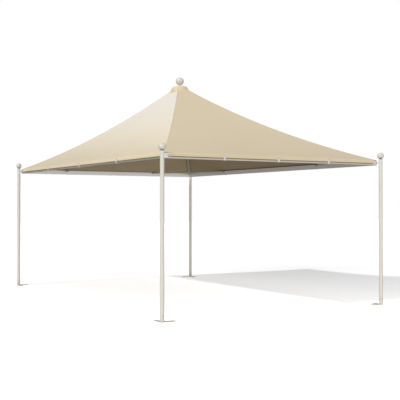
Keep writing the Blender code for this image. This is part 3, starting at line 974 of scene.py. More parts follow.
        stations: list[tuple[Vector, Vector, float]] = []
        leg = [*np.linspace(0.0, round_off, 7), *np.linspace(2 * round_off, self.bracket_leg - bend - 0.001, 4)]
        for distance in leg:
            short = round_off - min(distance, round_off)
            trim = round_off - math.sqrt(max(round_off ** 2 - short ** 2, 0.0))
            stations.append((Vector((reach - distance, middle_line)), Vector((0, 1)), half_height - trim))
        for k in range(1, 6):
            angle = math.pi / 2 * k / 6
            pivot = Vector((middle_line + bend, middle_line + bend))
            arm = Vector((-math.sin(angle), -math.cos(angle)))
            stations.append((pivot + arm * bend, -arm, half_height))
        mirrored = [(Vector((p.y, p.x)), Vector((n.y, n.x)), h) for p, n, h in reversed(stations[:len(leg)])]
        stations += mirrored

        shape = Shape()
        rings = []
        for spot, inward, height in stations:
            middle = centre + Vector((-sx * spot.x, -sy * spot.y, level))
            out = Vector((-sx * inward.x, -sy * inward.y, 0))
            loop = smooth_loop(max(height, 0.0012), self.bracket_plate / 2, 0.0011, 3)
            rings.append(section(middle, UP, out, loop))
        shape.skin(rings)

        diagonal = Vector((-sx, -sy, 0)).normalized()
        across = diagonal.cross(UP)
        start = math.sqrt((PLAN.post_radius + PLAN.gap) ** 2 - self.link_half ** 2)
        end = math.sqrt(2) * (face - self.bracket_plate) + 0.002

        def square(along: float, half: float, radius: float, steps: int) -> list[Vector]:
            """Return the link's rounded section at a distance from the post's axis."""
            middle = centre + diagonal * along + UP * self.link_middle
            return section(middle, across, UP, smooth_loop(half, half, radius, steps))

        shape.skin([square(along, self.link_half, 0.0025, 4) for along in (start, end)])
        for along in (start + 0.0005, end - 0.0045):
            shape.bead(square(along, self.link_half + 0.0005, 0.003, 6), self.link_weld)
        hand_over(shape.finished(f"bracket_plate_{self.corner.label}", [ZINC], 40),
                  "bracket_zinc", [f"corner_bracket_{self.corner.label}"])

    def bracket_bolts(self) -> None:
        """Build the bolt that holds each leg of the bracket to the frame."""
        sx, sy = self.corner.value
        skin = PLAN.beam_setback - PLAN.gap - self.bracket_plate
        axis = PLAN.post(self.corner, self.bracket_bolt_height)
        legs = ((Vector((sx, 0, 0)), Vector((0, -sy, 0))), (Vector((0, sy, 0)), Vector((-sx, 0, 0))))
        shape = Shape()
        for normal, tangent in legs:
            seat = axis - normal * skin + tangent * self.bracket_bolt_reach
            Fastener(Head.DOME, self.bracket_bolt).draw(shape, seat, normal)
        hand_over(shape.finished(f"bracket_bolts_{self.corner.label}", [STEEL]), "bracket_zinc")

    def build(self) -> None:
        """Build every piece of the post."""
        self.foot()
        self.tube()
        self.finial()
        self.through_bolts()
        self.bracket()
        self.bracket_bolts()


@dataclass
class EavesBeam:
    """One mitred eaves tube with the weld on one of its mitres."""

    side: Side
    wall: float = 0.0015
    corner: float = 0.004
    weld: float = 0.0011
    steps: int = 24

    def build(self) -> None:
        """Build the beam."""
        width, depth = PLAN.beam_width, PLAN.beam_top - PLAN.beam_bottom
        line = PLAN.depth(self.side) - PLAN.beam_setback - width / 2
        mitre = PLAN.half_length(self.side) - PLAN.beam_setback - width / 2 - PLAN.gap
        middle = (PLAN.beam_top + PLAN.beam_bottom) / 2
        normal, tangent = self.side.normal, self.side.tangent

        def ring(share: float, grow: float = 0.0) -> list[Vector]:
            """Return the section, grown or shrunk, at a share of the way along, from -1 to 1."""
            loop = smooth_loop(width / 2 + grow, depth / 2 + grow, self.corner + grow, 5)
            return [normal * (line + a) + tangent * (share * (mitre + a)) + UP * (middle + b) for a, b in loop]

        shares = [-1 + 2 * i / self.steps for i in range(self.steps + 1)]
        shape = Shape()
        shape.skin([ring(s) for s in shares] + [ring(s, -self.wall) for s in reversed(shares)], looped=True)
        shape.bead(ring(1.0, PLAN.gap), self.weld)
        # The beam's inner faces take the lighter copy of the coat: painted light.
        inner_face = line - width / 2 + self.corner / 2
        for number, corners in enumerate(shape.faces):
            if all(shape.points[i].dot(normal) < inner_face for i in corners):
                shape.coats[number] = 1
        hand_over(shape.finished(f"eaves_tube_{self.side.label}", [BEAM_COAT, INNER_FACE_PAINTED_LIGHT_COAT], 30),
                  "beam_paint", [f"{self.side.label}_eaves_beam"])


@dataclass
class HipRafter:
    """One curved rafter tube, coped to the frame's corner and to the hub."""

    corner: Corner
    radius: float = 0.024
    wall: float = 0.0015
    weld: float = 0.0022
    sides: int = 28
    rows: int = 48
    first: float = 0.058125

    def axis(self, t: float) -> Vector:
        """Find the middle of the rafter under the hip.

        Args:
            t: Fraction of the way up.

        Returns:
            The point.
        """
        slope = PLAN.roof_slope(t)
        diagonal = math.hypot(PLAN.run_x, PLAN.run_y)
        fall = slope / PLAN.run_x * PLAN.run_y / diagonal
        drop = self.radius * math.sqrt(1 + (slope / diagonal) ** 2 + fall ** 2)
        height = PLAN.roof_height(t) - PLAN.sheet_room - 2 * PLAN.gap - drop
        sx, sy = self.corner.value
        half_x, half_y = PLAN.spread(Side.RIGHT, t)
        return Vector((sx * half_x, sy * half_y, height))

    def to_corner(self, point: Vector, run: Vector) -> Vector:
        """Carry a point along the rafter to the inside of the frame's corner.

        Args:
            point: The point.
            run: Direction of the rafter.

        Returns:
            The point on the beams' inner faces.
        """
        sx, sy = self.corner.value
        reach_x, reach_y = PLAN.inner_reach
        return point + run * min((sx * reach_x - point.x) / run.x, (sy * reach_y - point.y) / run.y)

    def to_hub(self, point: Vector, run: Vector) -> Vector:
        """Carry a point along the rafter to the hub's drum.

        Args:
            point: The point.
            run: Direction of the rafter.

        Returns:
            The point on the drum.
        """
        reach = PLAN.hub_radius + PLAN.gap
        a = run.x ** 2 + run.y ** 2
        b = point.x * run.x + point.y * run.y
        c = point.x ** 2 + point.y ** 2 - reach ** 2
        return point + run * ((-b - math.sqrt(b * b - a * c)) / a)

    def rings(self, radius: float) -> list[list[Vector]]:
        """Draw the tube's rings from the frame to the hub.

        Args:
            radius: Radius of the rings.

        Returns:
            The rings.
        """
        sx, sy = self.corner.value
        aside = Vector((-sy * PLAN.run_y, sx * PLAN.run_x, 0)).normalized()
        count = self.rows
        axis = [self.axis(self.first + (PLAN.roof_top - self.first) * i / count) for i in range(count + 1)]
        rings = []
        for i, place in enumerate(axis):
            run = (axis[min(i + 1, count)] - axis[max(i - 1, 0)]).normalized()
            rings.append(section(place, aside, run.cross(aside).normalized(), circle(radius, self.sides)))
        low_run = (axis[0] - axis[1]).normalized()
        high_run = (axis[-1] - axis[-2]).normalized()
        low = [self.to_corner(p, low_run) for p in rings[0]]
        high = [self.to_hub(p, high_run) for p in rings[-1]]
        return [low] + rings + [high]

    def build(self) -> None:
        """Build the rafter with the welds at both ends."""
        outer = self.rings(self.radius)
        inner = self.rings(self.radius - self.wall)
        shape = Shape()
        shape.skin(outer + inner[::-1], looped=True)
        for loop in (outer[0], outer[-1]):
            shape.bead(loop, self.weld)
        hand_over(shape.finished(f"rafter_tube_{self.corner.label}", [BEAM_COAT], 40),
                  "beam_paint", [f"hip_rafter_{self.corner.label}"])


@dataclass
class CornerBrace:
    """One diagonal brace with the pads that bolt it to two beams."""

    corner: Corner
    radius: float = 0.014
    wall: float = 0.0015
    height: float = 2.303
    pad_height: float = 2.296
    sides: int = 28
    pad_half_width: float = 0.034
    pad_half_height: float = 0.016
    pad_thickness: float = 0.004
    pad_corner: float = 0.006
    pad_chamfer: float = 0.001
    bolt: float = 0.005
    bolt_reach: float = 0.026

    def build(self) -> None:
        """Build the brace, its pads and their bolts."""
        sx, sy = self.corner.value
        reach_x, reach_y = PLAN.inner_reach
        start = Vector((sx * PLAN.half_x / 2, sy * reach_y, self.height))
        end = Vector((sx * reach_x, sy * PLAN.half_y / 2, self.height))
        run = (end - start).normalized()
        aside = run.cross(UP)

        def rings(radius: float) -> list[list[Vector]]:
            """Draw the tube's two end rings, cut flush with the beams.

            Args:
                radius: Radius of the tube.

            Returns:
                The rings.
            """
            low, high = [], []
            for point in section((start + end) / 2, aside, UP, circle(radius, self.sides)):
                low.append(point + run * ((sy * reach_y - point.y) / run.y))
                high.append(point + run * ((sx * reach_x - point.x) / run.x))
            return [low, high]

        outer, inner = rings(self.radius), rings(self.radius - self.wall)
        shape = Shape()
        shape.skin(outer + inner[::-1], looped=True)
        for middle, inward, along in ((start, Vector((0, -sy, 0)), Vector((sx, 0, 0))),
                                      (end, Vector((-sx, 0, 0)), Vector((0, sy, 0)))):
            middle.z = self.pad_height
            loops = []
            edge = self.pad_chamfer
            for inset, out in ((0.0, 0.0), (0.0, self.pad_thickness - edge), (edge, self.pad_thickness)):
                half_width, half_height = self.pad_half_width - inset, self.pad_half_height - inset
                loop = smooth_loop(half_width, half_height, self.pad_corner - inset, 4)
                loops.append(section(middle + inward * out, along, UP, loop))
            shape.skin(loops)
            for place in (-self.bolt_reach, self.bolt_reach):
                seat = middle + along * place + inward * self.pad_thickness
                Fastener(Head.DOME, self.bolt).draw(shape, seat, inward, 1)
        hand_over(shape.finished(f"brace_tube_{self.corner.label}", [BEAM_COAT, STEEL], 35),
                  "beam_paint", [f"corner_brace_{self.corner.label}"])


@dataclass
class Hub:
    """The drum and plate that carry the rafters' upper ends."""

    wall: float = 0.004
    bottom: float = 3.638
    plate_radius: float = 0.094
    plate_thickness: float = 0.008
    bore: float = 0.0112
    weld: float = 0.0025
    nut: float = 0.021
    sides: int = 72

    @property
    def plate_top(self) -> float:
        """Return the height of the plate's upper face, just under the cover."""
        return PLAN.plateau - PLAN.sheet_room - 2 * PLAN.gap

    def build(self) -> None:
        """Build the drum, the plate, their weld and the stem's nut."""
        top, edge, bottom = self.plate_top, self.plate_radius, self.bottom
        low = top - self.plate_thickness
        outside, inside = PLAN.hub_radius, PLAN.hub_radius - self.wall
        shape = Shape()
        shape.lathe([(self.bore, top), (edge - 0.002, top), (edge, top - 0.002), (edge, low + 0.001),
                     (edge - 0.001, low), (outside, low), (outside, bottom + 0.001), (outside - 0.001, bottom),
                     (inside + 0.001, bottom), (inside, bottom + 0.001), (inside, low), (self.bore, low)],
                    Matrix.Identity(4), self.sides)
        shape.bead([Vector((x, y, low)) for x, y in circle(inside, self.sides)], self.weld)
        Fastener(Head.HEXAGON, self.nut).draw(shape, Vector((0, 0, low)), -UP, 1)
        hand_over(shape.finished("hub_drum", [BEAM_COAT, STEEL], 35), "beam_paint", ["apex_hub"])


@dataclass
class CrownBall:
    """The large ball on the crown, its neck, its flange and its seal."""

    radius: float = 0.0725
    height: float = 3.837
    neck: float = 0.022
    flange: float = 0.066
    flange_thickness: float = 0.008
    stem: float = 0.0108
    stem_bottom: float = 3.690
    seal_squeeze: float = 0.0024
    sides: int = 72

    def build(self) -> None:
        """Build the ball and the seal under its flange."""
        seat = PLAN.plateau + PLAN.gap
        profile = arc(self.radius, self.height, math.pi - math.asin(self.neck / self.radius), 40)
        top = seat + self.flange_thickness
        profile += [(self.neck, top + 0.0060), (0.0232, top + 0.0026), (0.0260, top + 0.0006),
                    (0.0290, top), (self.flange - 0.0024, top), (self.flange - 0.0008, top - 0.0008),
                    (self.flange, top - 0.0024), (self.flange, seat + 0.0012), (self.flange - 0.0008, seat),
                    (self.stem, seat), (self.stem, self.stem_bottom + 0.001),
                    (self.stem - 0.001, self.stem_bottom), (0, self.stem_bottom)]
        shape = Shape()
        shape.lathe(profile, Matrix.Identity(4), self.sides)
        hand_over(shape.finished("crown_ball", [BALL_COAT], 40), "ball_paint", ["apex_ball"])
        low = PLAN.plateau - self.seal_squeeze
        seal = Shape()
        rim, bore = self.flange - 0.004, self.stem + PLAN.gap
        seal.lathe([(bore, low), (rim - 0.001, low), (rim, low + 0.0010), (rim, seat - 0.0010),
                    (rim - 0.001, seat - 0.0001), (bore, seat - 0.0001)], Matrix.Identity(4), self.sides)
        hand_over(seal.finished("crown_seal", [RUBBER_AND_PAINTED_SHADE]), "ball_paint")


@dataclass
class HemStrap:
    """One bent strap that holds the hem on its beam, with its screw."""

    side: Side
    number: int
    half_width: float = 0.019
    plate: float = 0.003
    lip: float = 0.024
    bend: float = 0.004
    round_off: float = 0.007
    screw: float = 0.0075
    screw_height: float = 2.300

    def build(self) -> None:
        """Build the strap over the hem, hooked under the beam."""
        face = PLAN.depth(self.side) - PLAN.fold_setback + PLAN.gap
        middle = face + self.plate / 2
        low = PLAN.beam_bottom - PLAN.gap - self.plate / 2
        share = (self.number - 2) * 0.5
        across = self.side.tangent
        foot = across * (share * (PLAN.half_length(self.side) - PLAN.beam_setback - PLAN.beam_width))
        stations: list[tuple[float, float, Vector, float]] = []
        for k in range(7):
            fall = self.round_off * k / 6
            trim = self.round_off - math.sqrt(self.round_off ** 2 - (self.round_off - fall) ** 2)
            stations.append((middle, PLAN.beam_top - fall, Vector((1, 0)), self.half_width - trim))
        for z in np.linspace(PLAN.beam_top - self.round_off - 0.004, low + self.bend + 0.001, 6):
            stations.append((middle, float(z), Vector((1, 0)), self.half_width))
        for k in range(7):
            angle = math.pi / 2 * k / 6
            out = Vector((math.cos(angle), -math.sin(angle)))
            reach, level = middle - self.bend + out.x * self.bend, low + self.bend + out.y * self.bend
            stations.append((reach, level, out, self.half_width))
        end = face - self.lip
        for k in range(1, 5):
            n = middle - self.bend + (end - middle + self.bend) * k / 4
            stations.append((n, low, Vector((0, -1)), self.half_width - (0.002 if k == 4 else 0.0)))
        rings = []
        normal = self.side.normal
        for n, z, out, half in stations:
            loop = smooth_loop(max(half, 0.0125), self.plate / 2, 0.0009, 3)
            rings.append(section(foot + normal * n + UP * z, across, normal * out.x + UP * out.y, loop))
        shape = Shape()
        shape.skin(rings)
        seat = foot + normal * (face + self.plate) + UP * self.screw_height
        Fastener(Head.DOME, self.screw).draw(shape, seat, normal, 1)
        label = f"{self.side.label}_{self.number}"
        hand_over(shape.finished(f"hem_strap_{label}", [CLIP_COAT, STEEL]), "clip_paint", [f"hem_clip_{label}"])


@dataclass
class RoofCover:
    """The sewn cover: four slopes, the crown and the hems in one sheet."""

    thickness: float = 0.0012
    ride_height: float = 0.0014
    seam_half: float = 0.0125
    seam_lift: float = 0.0008
    seam_edge: float = 0.0012
    wave: float = 0.0022
    sag: float = 0.004
    pull: float = 0.0010
    draw_in: float = 0.65
    fold_radius: float = 0.005
    crease_lift: float = 0.0006
    hem_bottom: float = 2.2685
    hem_cutback: float = 0.1105
    band_top: float = 2.2955
    band_lift: float = 0.0007
    stitch_pitch: float = 0.0095
    stitch_inset: float = 0.0090
    stitch_heights: Pair = (2.2925, 2.2735)
    stitch_steps: int = 240
    piping_steps: int = 40
    rows: int = 60
    row_bias: float = 1.08
    columns_short: int = 44
    columns_long: int = 66

    def offsets(self) -> list[Pair]:
        """Lay out the seam beside a hip.

        Returns:
            Distances from the hip, each with how far the cloth is raised.
        """
        near = self.hem_cutback - PLAN.fold_setback
        return [(0.0, self.seam_lift), (0.006, self.seam_lift), (self.seam_half, self.seam_lift),
                (self.seam_half + self.seam_edge, 0.0), (0.030, 0.0), (near, 0.0)]

    def columns(self, side: Side, half_width: float) -> list[Pair]:
        """Return the places and lifts of a row's points along a side.

        Args:
            side: Which side.
            half_width: Half the row's width.

        Returns:
            Place along the side and lift, from hip to hip.
        """
        edge = self.offsets()
        inner = half_width - edge[-1][0]
        count = self.columns_long if side.value[0] else self.columns_short
        middle = [(inner * (2 * k / count - 1), 0.0) for k in range(1, count)]
        left = [(-half_width + d, lift) for d, lift in edge]
        right = [(half_width - d, lift) for d, lift in reversed(edge)]
        return left + middle + right

    def ripple(self, side: Side, along: float, t: float) -> float:
        """Return the small waves that tension leaves in a slope.

        Args:
            side: Which side.
            along: Place along the side.
            t: Fraction of the way up.

        Returns:
            Height of the wave.
        """
        share = along / PLAN.spread(side, t)[1]
        edge = max(0.0, 1 - share * share) * math.sin(math.pi * min(1.0, t / PLAN.roof_top))
        phase = 1.3 * list(Side).index(side)
        slow = math.sin(5.1 * t + 2.3 * share + phase) + 0.6 * math.sin(9.7 * t - 4.1 * share + 2 * phase)
        pull = math.exp(-t / 0.10) * math.cos(4 * math.pi * share) * max(0.0, 1 - share * share)
        return self.wave * edge * slow - self.sag * edge + self.pull * pull * min(1.0, t / 0.02)

    def slope_point(self, side: Side, along: float, t: float) -> Vector:
        """Return a point of the cover's outer face, along a side and at fraction t of the way up."""
        height = PLAN.roof_height(t) - PLAN.sheet_room + self.ride_height + self.ripple(side, along, t)
        return side.normal * PLAN.spread(side, t)[0] + side.tangent * along + UP * height

    def crown_rows(self) -> list[CrownRow]:
        """Draw the crown's section from its knots.

        Returns:
            Circle radius, share of the circle, height and inset of each row.
        """
        knots = np.array([
            (0.1580, 0.00, PLAN.roof_height(PLAN.roof_top), 0.0),
            (0.1580, 0.22, 3.6400, 0.0),
            (0.1550, 0.50, 3.6530, 0.0005),
            (0.1500, 0.72, 3.6710, 0.0015),
            (0.1490, 0.90, 3.6890, 0.0025),
            (0.1440, 1.00, 3.7075, 0.0030),
            (0.1390, 1.00, 3.7170, 0.0030),
            (0.1330, 1.00, 3.7260, 0.0028),
            (0.1250, 1.00, 3.7345, 0.0022),
            (0.1165, 1.00, 3.7405, 0.0010),
            (0.1080, 1.00, PLAN.plateau, 0.0),
            (0.0480, 1.00, PLAN.plateau, 0.0),
            (0.0112, 1.00, PLAN.plateau, 0.0),
        ])
        flat = 3
        curved = len(knots) - flat
        rows = []
        for i in range(len(knots) - 1):
            before, here, after = knots[max(i - 1, 0)], knots[i], knots[i + 1]
            beyond = knots[min(i + 2, len(knots) - 1)] if i < curved - 1 else after
            for s in (1 / 3, 2 / 3, 1.0):
                row = here + (after - here) * s
                if i < curved:
                    square = 2 * before - 5 * here + 4 * after - beyond
                    cube = 3 * here - before - 3 * after + beyond
                    row = (2 * here + (after - before) * s + square * s * s + cube * s ** 3) / 2
                rows.append(tuple(float(v) for v in row))
        return rows

    def crown_point(self, flat: Vector, row: CrownRow) -> Vector:
        """Return a point of the crown above a point of its lowest row.

        Args:
            flat: Where the column meets the top of the slopes, in plan.
            row: The row, as crown_rows gives it.

        Returns:
            The point.
        """
        radius, share, height, inset = row
        share = min(1.0, max(0.0, share))
        spot = flat.xy.lerp(flat.xy.normalized() * radius, share)
        level = max(height, PLAN.roof_height(PLAN.fraction(spot))) if share < 1 else height
        kept = 1 - self.draw_in * inset / spot.length
        return Vector((spot.x * kept, spot.y * kept, level - PLAN.sheet_room + self.ride_height))

    def grid(self) -> tuple[list[Vector], list[float], list[list[int]]]:
        """Lay out the outer face.

        Returns:
            Its points, their lifts and its faces.
        """
        points: list[Vector] = []
        lifts: list[float] = []
        faces: list[list[int]] = []
        levels = [PLAN.roof_top * (r / self.rows) ** self.row_bias for r in range(1, self.rows + 1)]
        start_rows: dict[Side, list[int]] = {}

        def row_at(t: float, drawn_in: bool) -> list[int]:
            """Add one ring of the slopes.

            Args:
                t: Fraction of the way up.
                drawn_in: Whether the ring starts the folds over the beams.

            Returns:
                The numbers of its points.
            """
            ring: list[int] = []
            for side in Side:
                columns = self.columns(side, PLAN.spread(side, t)[1])
                edge = len(self.offsets())
                numbers = []
                for index, (along, lift) in enumerate(columns[:-1]):
                    point = self.slope_point(side, along, t)
                    if drawn_in and edge - 1 <= index <= len(columns) - edge:
                        pull = PLAN.sheet_room - self.ride_height + self.fold_radius
                        point = self.slope_point(side, along, pull / PLAN.run(side))
                    points.append(point)
                    lifts.append(lift)
                    numbers.append(len(points) - 1)
                if drawn_in:
                    start_rows[side] = numbers
                ring += numbers
            return ring

        rings = [row_at(0.0, True)] + [row_at(t, False) for t in levels]
        last = [points[i] for i in rings[-1]]
        for row in self.crown_rows():
            first = len(points)
            for flat, under in zip(last, rings[-1]):
                points.append(self.crown_point(flat, row))
                lifts.append(lifts[under] * (row[1] < 0.999))
            rings.append(list(range(first, len(points))))
        for low, high in zip(rings, rings[1:]):
            for i in range(len(low)):
                j = (i + 1) % len(low)
                faces.append([low[i], low[j], high[j], high[i]])
        for side in Side:
            self.add_hem(side, start_rows[side], points, lifts, faces)
        return points, lifts, faces

    def add_hem(
        self,
        side: Side,
        start: list[int],
        points: list[Vector],
        lifts: list[float],
        faces: list[list[int]],
    ) -> None:
        """Fold the cloth over the beam and hang the hem.

        Args:
            side: Which side.
            start: Numbers of the slope's first row.
            points: Points of the cover, which grow.
            lifts: Lifts of the cover, which grow.
            faces: Faces of the cover, which grow.
        """
        edge = len(self.offsets()) - 1
        top_row = start[edge:len(start) - edge + 1]
        plane = PLAN.depth(side) - PLAN.fold_setback - PLAN.sheet_room + self.ride_height
        normal = side.normal
        crease = PLAN.roof_height(0.0) - PLAN.sheet_room + self.ride_height
        rows = [top_row]
        for bend in (0.33, 0.66, 1.0):
            fresh = []
            for number in top_row:
                base = points[number]
                along = side.tangent * base.dot(side.tangent)
                corner = Vector((plane, crease + self.crease_lift))
                first = Vector((base.dot(normal), base.z))
                final = Vector((plane, crease - self.fold_radius))
                flat = first * (1 - bend) ** 2 + corner * (2 * bend * (1 - bend)) + final * bend ** 2
                points.append(normal * flat.x + along + UP * flat.y)
                lifts.append(0.0)
                fresh.append(len(points) - 1)
            rows.append(fresh)
        low, band, raised = self.hem_bottom, self.band_top, self.band_lift
        for height, lift in ((2.3010, 0.0), (band + 0.0008, 0.0), (band, raised), (2.2820, raised),
                             (low + 0.0010, raised), (low, 0.0002)):
            fresh = []
            for number in top_row:
                along = side.tangent * points[number].dot(side.tangent)
                points.append(normal * plane + along + UP * height)
                lifts.append(lift)
                fresh.append(len(points) - 1)
            rows.append(fresh)
        for upper, lower in zip(rows, rows[1:]):
            for i in range(len(upper) - 1):
                faces.append([lower[i], lower[i + 1], upper[i + 1], upper[i]])

    def build(self) -> bpy.types.Object:
        """Build the cover as one closed thin sheet with an outer and an inner face, the inner face in a darker
        canvas that paints the shade under the roof.

        Returns:
            The cover.
        """
        points, lifts, faces = self.grid()
        place = np.array(points)
        quads = np.array(faces)
        cross = np.cross(place[quads[:, 2]] - place[quads[:, 0]], place[quads[:, 3]] - place[quads[:, 1]])
        normals = np.zeros_like(place)
        for k in range(4):
            np.add.at(normals, quads[:, k], cross)
        normals /= np.linalg.norm(normals, axis=1, keepdims=True)
        outer = place + normals * np.array(lifts)[:, None]
        inner = place - normals * self.thickness
        shape = Shape()
        top = shape.ring(Vector(p) for p in outer)
        under = shape.ring(Vector(p) for p in inner)
        used: set[tuple[int, int]] = set()
        for face in faces:
            shape.face([top[i] for i in face], 0)
            # The inner faces take the darker canvas: painted shade.
            shape.face([under[i] for i in reversed(face)], 1)
            used.update(zip(face, face[1:] + face[:1]))
        for a, b in used:
            if (b, a) not in used:
                shape.face([top[b], top[a], under[a], under[b]], 0)
        piece = shape.finished("roof_cover", [OUTER_CANVAS, INNER_CANVAS_PAINTED_SHADE], 28)
        nodes = [f"{side.label}_roof_panel" for side in Side] + ["roof_crown"]
        return hand_over(piece, "roof_fabric", nodes)

    def hem_ends(self, side: Side) -> float:
        """Return half the hem's length along a side."""
        return PLAN.half_length(side) - self.hem_cutback

    def piping(self) -> bpy.types.Object:
        """Build the corded edge under each hem, in a dark colour that paints the shade line under the hem.

        Returns:
            The piping.
        """
        cord = [(0.0002, 0.0), (0.0016, 0.0), (0.0030, -0.0014), (0.0037, -0.0045),
                (0.0036, -0.0080), (0.0027, -0.0110), (0.0012, -0.0128), (0.0002, -0.0130)]
        shape = Shape()
        for side in Side:
            inner = PLAN.depth(side) - PLAN.beam_setback + PLAN.gap
            half = self.hem_ends(side) - 0.001
            rings = []
            for k in range(self.piping_steps + 1):
                middle = side.normal * inner + side.tangent * (half * (2 * k / self.piping_steps - 1))
                closing = 0.55 if k in (0, self.piping_steps) else 1.0
                rings.append(section(middle + UP * self.hem_bottom, side.normal * closing, UP * closing, cord))
            shape.skin(rings)
        return hand_over(shape.finished("hem_piping", [PIPING_PAINTED_SHADE], 50), "roof_fabric")

    def stitching(self) -> bpy.types.Object:
        """Build the stitches along the hips and the hems.

        Returns:
            The stitches.
        """
        shape = Shape()
        levels = [PLAN.roof_top * k / self.stitch_steps for k in range(2, self.stitch_steps + 1)]
        for side in Side:
            for sign in (-1, 1):
                path, lift = [], []
                for t in levels:
                    along = sign * (PLAN.spread(side, t)[1] - self.stitch_inset)
                    run = UP * PLAN.roof_slope(t) - side.normal * PLAN.run(side)
                    up = side.tangent.cross(run).normalized()
                    path.append(self.slope_point(side, along, t) + up * (self.seam_lift + 0.0001))
                    lift.append(up)
                shape.stitches(path, lift, self.stitch_pitch)
            plane = PLAN.depth(side) - PLAN.fold_setback - PLAN.sheet_room + self.ride_height + 0.0008
            half = self.hem_ends(side) - 0.006
            for height in self.stitch_heights:
                ends = [side.normal * plane + side.tangent * s + UP * height for s in (-half, half)]
                shape.stitches(ends, [side.normal, side.normal], self.stitch_pitch)
        return hand_over(shape.finished("cover_stitching", [THREAD], 180), "roof_fabric")


@dataclass(frozen=True)
class Camera:
    """The camera at the photograph's viewing angle."""

    place: tuple[float, float, float] = (-7.258, -12.638, 1.571)
    heading: float = 1.0495
    tilt: float = 0.0135
    lens: float = 72.63
    shift: Pair = (0.0505, -0.01075)

    def build(self) -> None:
        """Make the camera and set it as the scene's."""
        data = bpy.data.cameras.new("view")
        data.sensor_width, data.lens = 36.0, self.lens
        data.shift_x, data.shift_y = self.shift
        data.clip_end = 500.0
        camera = bpy.data.objects.new("view", data)
        forward = Vector((math.cos(self.heading) * math.cos(self.tilt),
                          math.sin(self.heading) * math.cos(self.tilt), math.sin(self.tilt)))
        camera.location = self.place
        camera.rotation_mode = "QUATERNION"
        camera.rotation_quaternion = forward.to_track_quat("-Z", "Y")
        bpy.context.scene.collection.objects.link(camera)
        bpy.context.scene.camera = camera


@dataclass(frozen=True)
class FloorPaint(Finish):
    """Plain pale studio floor with painted light: it glows a little, most in front and under the roof."""

    name: str = "studio_floor"
    colour: Colour = (0.96, 0.96, 0.96)
    front: float = -3.0
    right: float = 2.0
    reach: float = 12.0
    painted_light_by_depth: tuple[Pair, ...] = ((0.0, 0.27), (0.53, 0.03), (1.0, 0.20))
    painted_light_by_width: tuple[Pair, ...] = ((0.0, 0.23), (0.15, 0.09), (0.30, 0.045), (0.60, 0.14))

    def surface(self, nodes: Nodes, place: Signal) -> dict[str, object]:
        """Draw the floor's faint clouds and its glow, which is painted light.

        Args:
            nodes: The material's nodes.
            place: The object's coordinates.

        Returns:
            Values or signals by socket name.
        """
        depth, width = nodes.axis(place, "Y"), nodes.axis(place, "X")
        # Painted light: the glow lifts the shadow towards the front and the shade under the roof.
        glow = (nodes.ramp((depth - self.front) * (1 / self.reach), self.painted_light_by_depth)
                + nodes.ramp((width - self.right) * (1 / self.reach), self.painted_light_by_width))
        return {
            "Base Color": nodes.blend(nodes.noise(place, 0.2, 2.0), self.tinted(0.99), self.colour),
            "Roughness": 0.9,
            "Specular IOR Level": 0.1,
            "Emission Color": glow,
            "Emission Strength": 1.0,
        }


@dataclass(frozen=True)
class Lobe:
    """A soft bright patch of the sky."""

    way: tuple[float, float, float]
    edge: float
    level: float

    def light(self, nodes: Nodes, way: Signal) -> Signal:
        """Return the patch's light along a direction.

        Args:
            nodes: The world's nodes.
            way: The direction.

        Returns:
            The light.
        """
        middle = tuple(Vector(self.way).normalized())
        inputs = {0: way, 1: middle}
        near = nodes.node("ShaderNodeVectorMath", {"operation": "DOT_PRODUCT"}, inputs, "Value")
        return ((near - self.edge) * (1 / (1 - self.edge))).clamp() * self.level


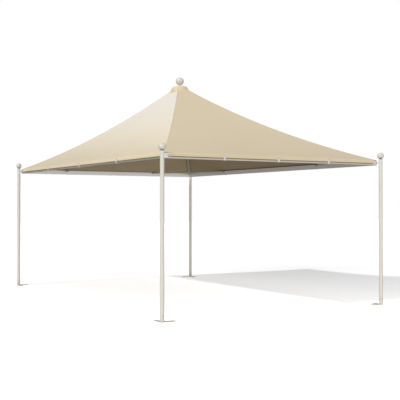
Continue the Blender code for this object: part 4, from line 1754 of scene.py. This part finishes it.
@dataclass(frozen=True)
class Studio:
    """Soft studio light: a low sun from the left, a sky and a pale floor."""

    sun_direction: tuple[float, float, float] = (0.847, 0.092, -0.53)
    sun_strength: float = 1.88
    sun_angle: float = 1.8
    sky: tuple[Pair, ...] = ((0.0, 0.18), (0.44, 0.18), (0.53, 0.0), (0.80, 0.56))
    lobes: tuple[Lobe, ...] = (
        Lobe((0.25, -0.95, -0.20), 0.45, 1.29),
        Lobe((-0.95, -0.25, -0.20), 0.45, 0.38),
        Lobe((0.15, 0.80, 0.58), 0.95, 1.2),
    )
    floor_half: float = 60.0

    def world(self) -> None:
        """Make the sky with its bright patches, which the camera sees as white."""
        world = bpy.data.worlds.new("studio_sky")
        bpy.context.scene.world = world
        world.use_nodes = True
        nodes = Nodes(world.node_tree)
        background = world.node_tree.nodes["Background"]
        background.inputs["Color"].default_value = (1.0, 1.0, 1.0, 1.0)
        way = nodes.node("ShaderNodeTexCoord", output="Generated")
        light = nodes.ramp(nodes.axis(way, "Z") * 0.5 + 0.5, self.sky)
        for lobe in self.lobes:
            light = light + lobe.light(nodes, way)
        seen = nodes.node("ShaderNodeLightPath", output="Is Camera Ray")
        nodes.feed(background.inputs["Strength"], light * (1 - seen) + seen)

    def sun(self) -> None:
        """Make the key light."""
        data = bpy.data.lights.new("key_sun", "SUN")
        data.energy, data.angle = self.sun_strength, math.radians(self.sun_angle)
        lamp = bpy.data.objects.new("key_sun", data)
        lamp.rotation_mode = "QUATERNION"
        lamp.rotation_quaternion = Vector(self.sun_direction).to_track_quat("-Z", "Y")
        bpy.context.scene.collection.objects.link(lamp)

    def floor(self) -> None:
        """Make the floor, which only the camera sees."""
        shape = Shape()
        half = self.floor_half
        shape.face(shape.ring([Vector((-half, -half, 0)), Vector((half, -half, 0)),
                               Vector((half, half, 0)), Vector((-half, half, 0))]))
        floor = shape.finished("floor", [FloorPaint()])
        floor.visible_diffuse = False
        floor.visible_glossy = False

    def build(self) -> None:
        """Make the sky, the sun and the floor."""
        bpy.context.scene.view_settings.view_transform = "Standard"
        self.world()
        self.sun()
        self.floor()


def main() -> None:
    """Build the camera, the studio and every sub-assembly."""
    logging.basicConfig(level=logging.INFO, format="%(message)s")
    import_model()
    Camera().build()
    Studio().build()
    for corner in Corner:
        Post(corner).build()
        HipRafter(corner).build()
        CornerBrace(corner).build()
    for side in Side:
        EavesBeam(side).build()
        for number in (1, 2, 3):
            HemStrap(side, number).build()
    Hub().build()
    CrownBall().build()
    cover = RoofCover()
    sheet = cover.build()
    piping = cover.piping()
    stitches = cover.stitching()
    carriers = [f"rafter_tube_{corner.label}" for corner in Corner]
    carriers += [f"eaves_tube_{side.label}" for side in Side] + ["hub_drum"]


if __name__ == "__main__":
    main()
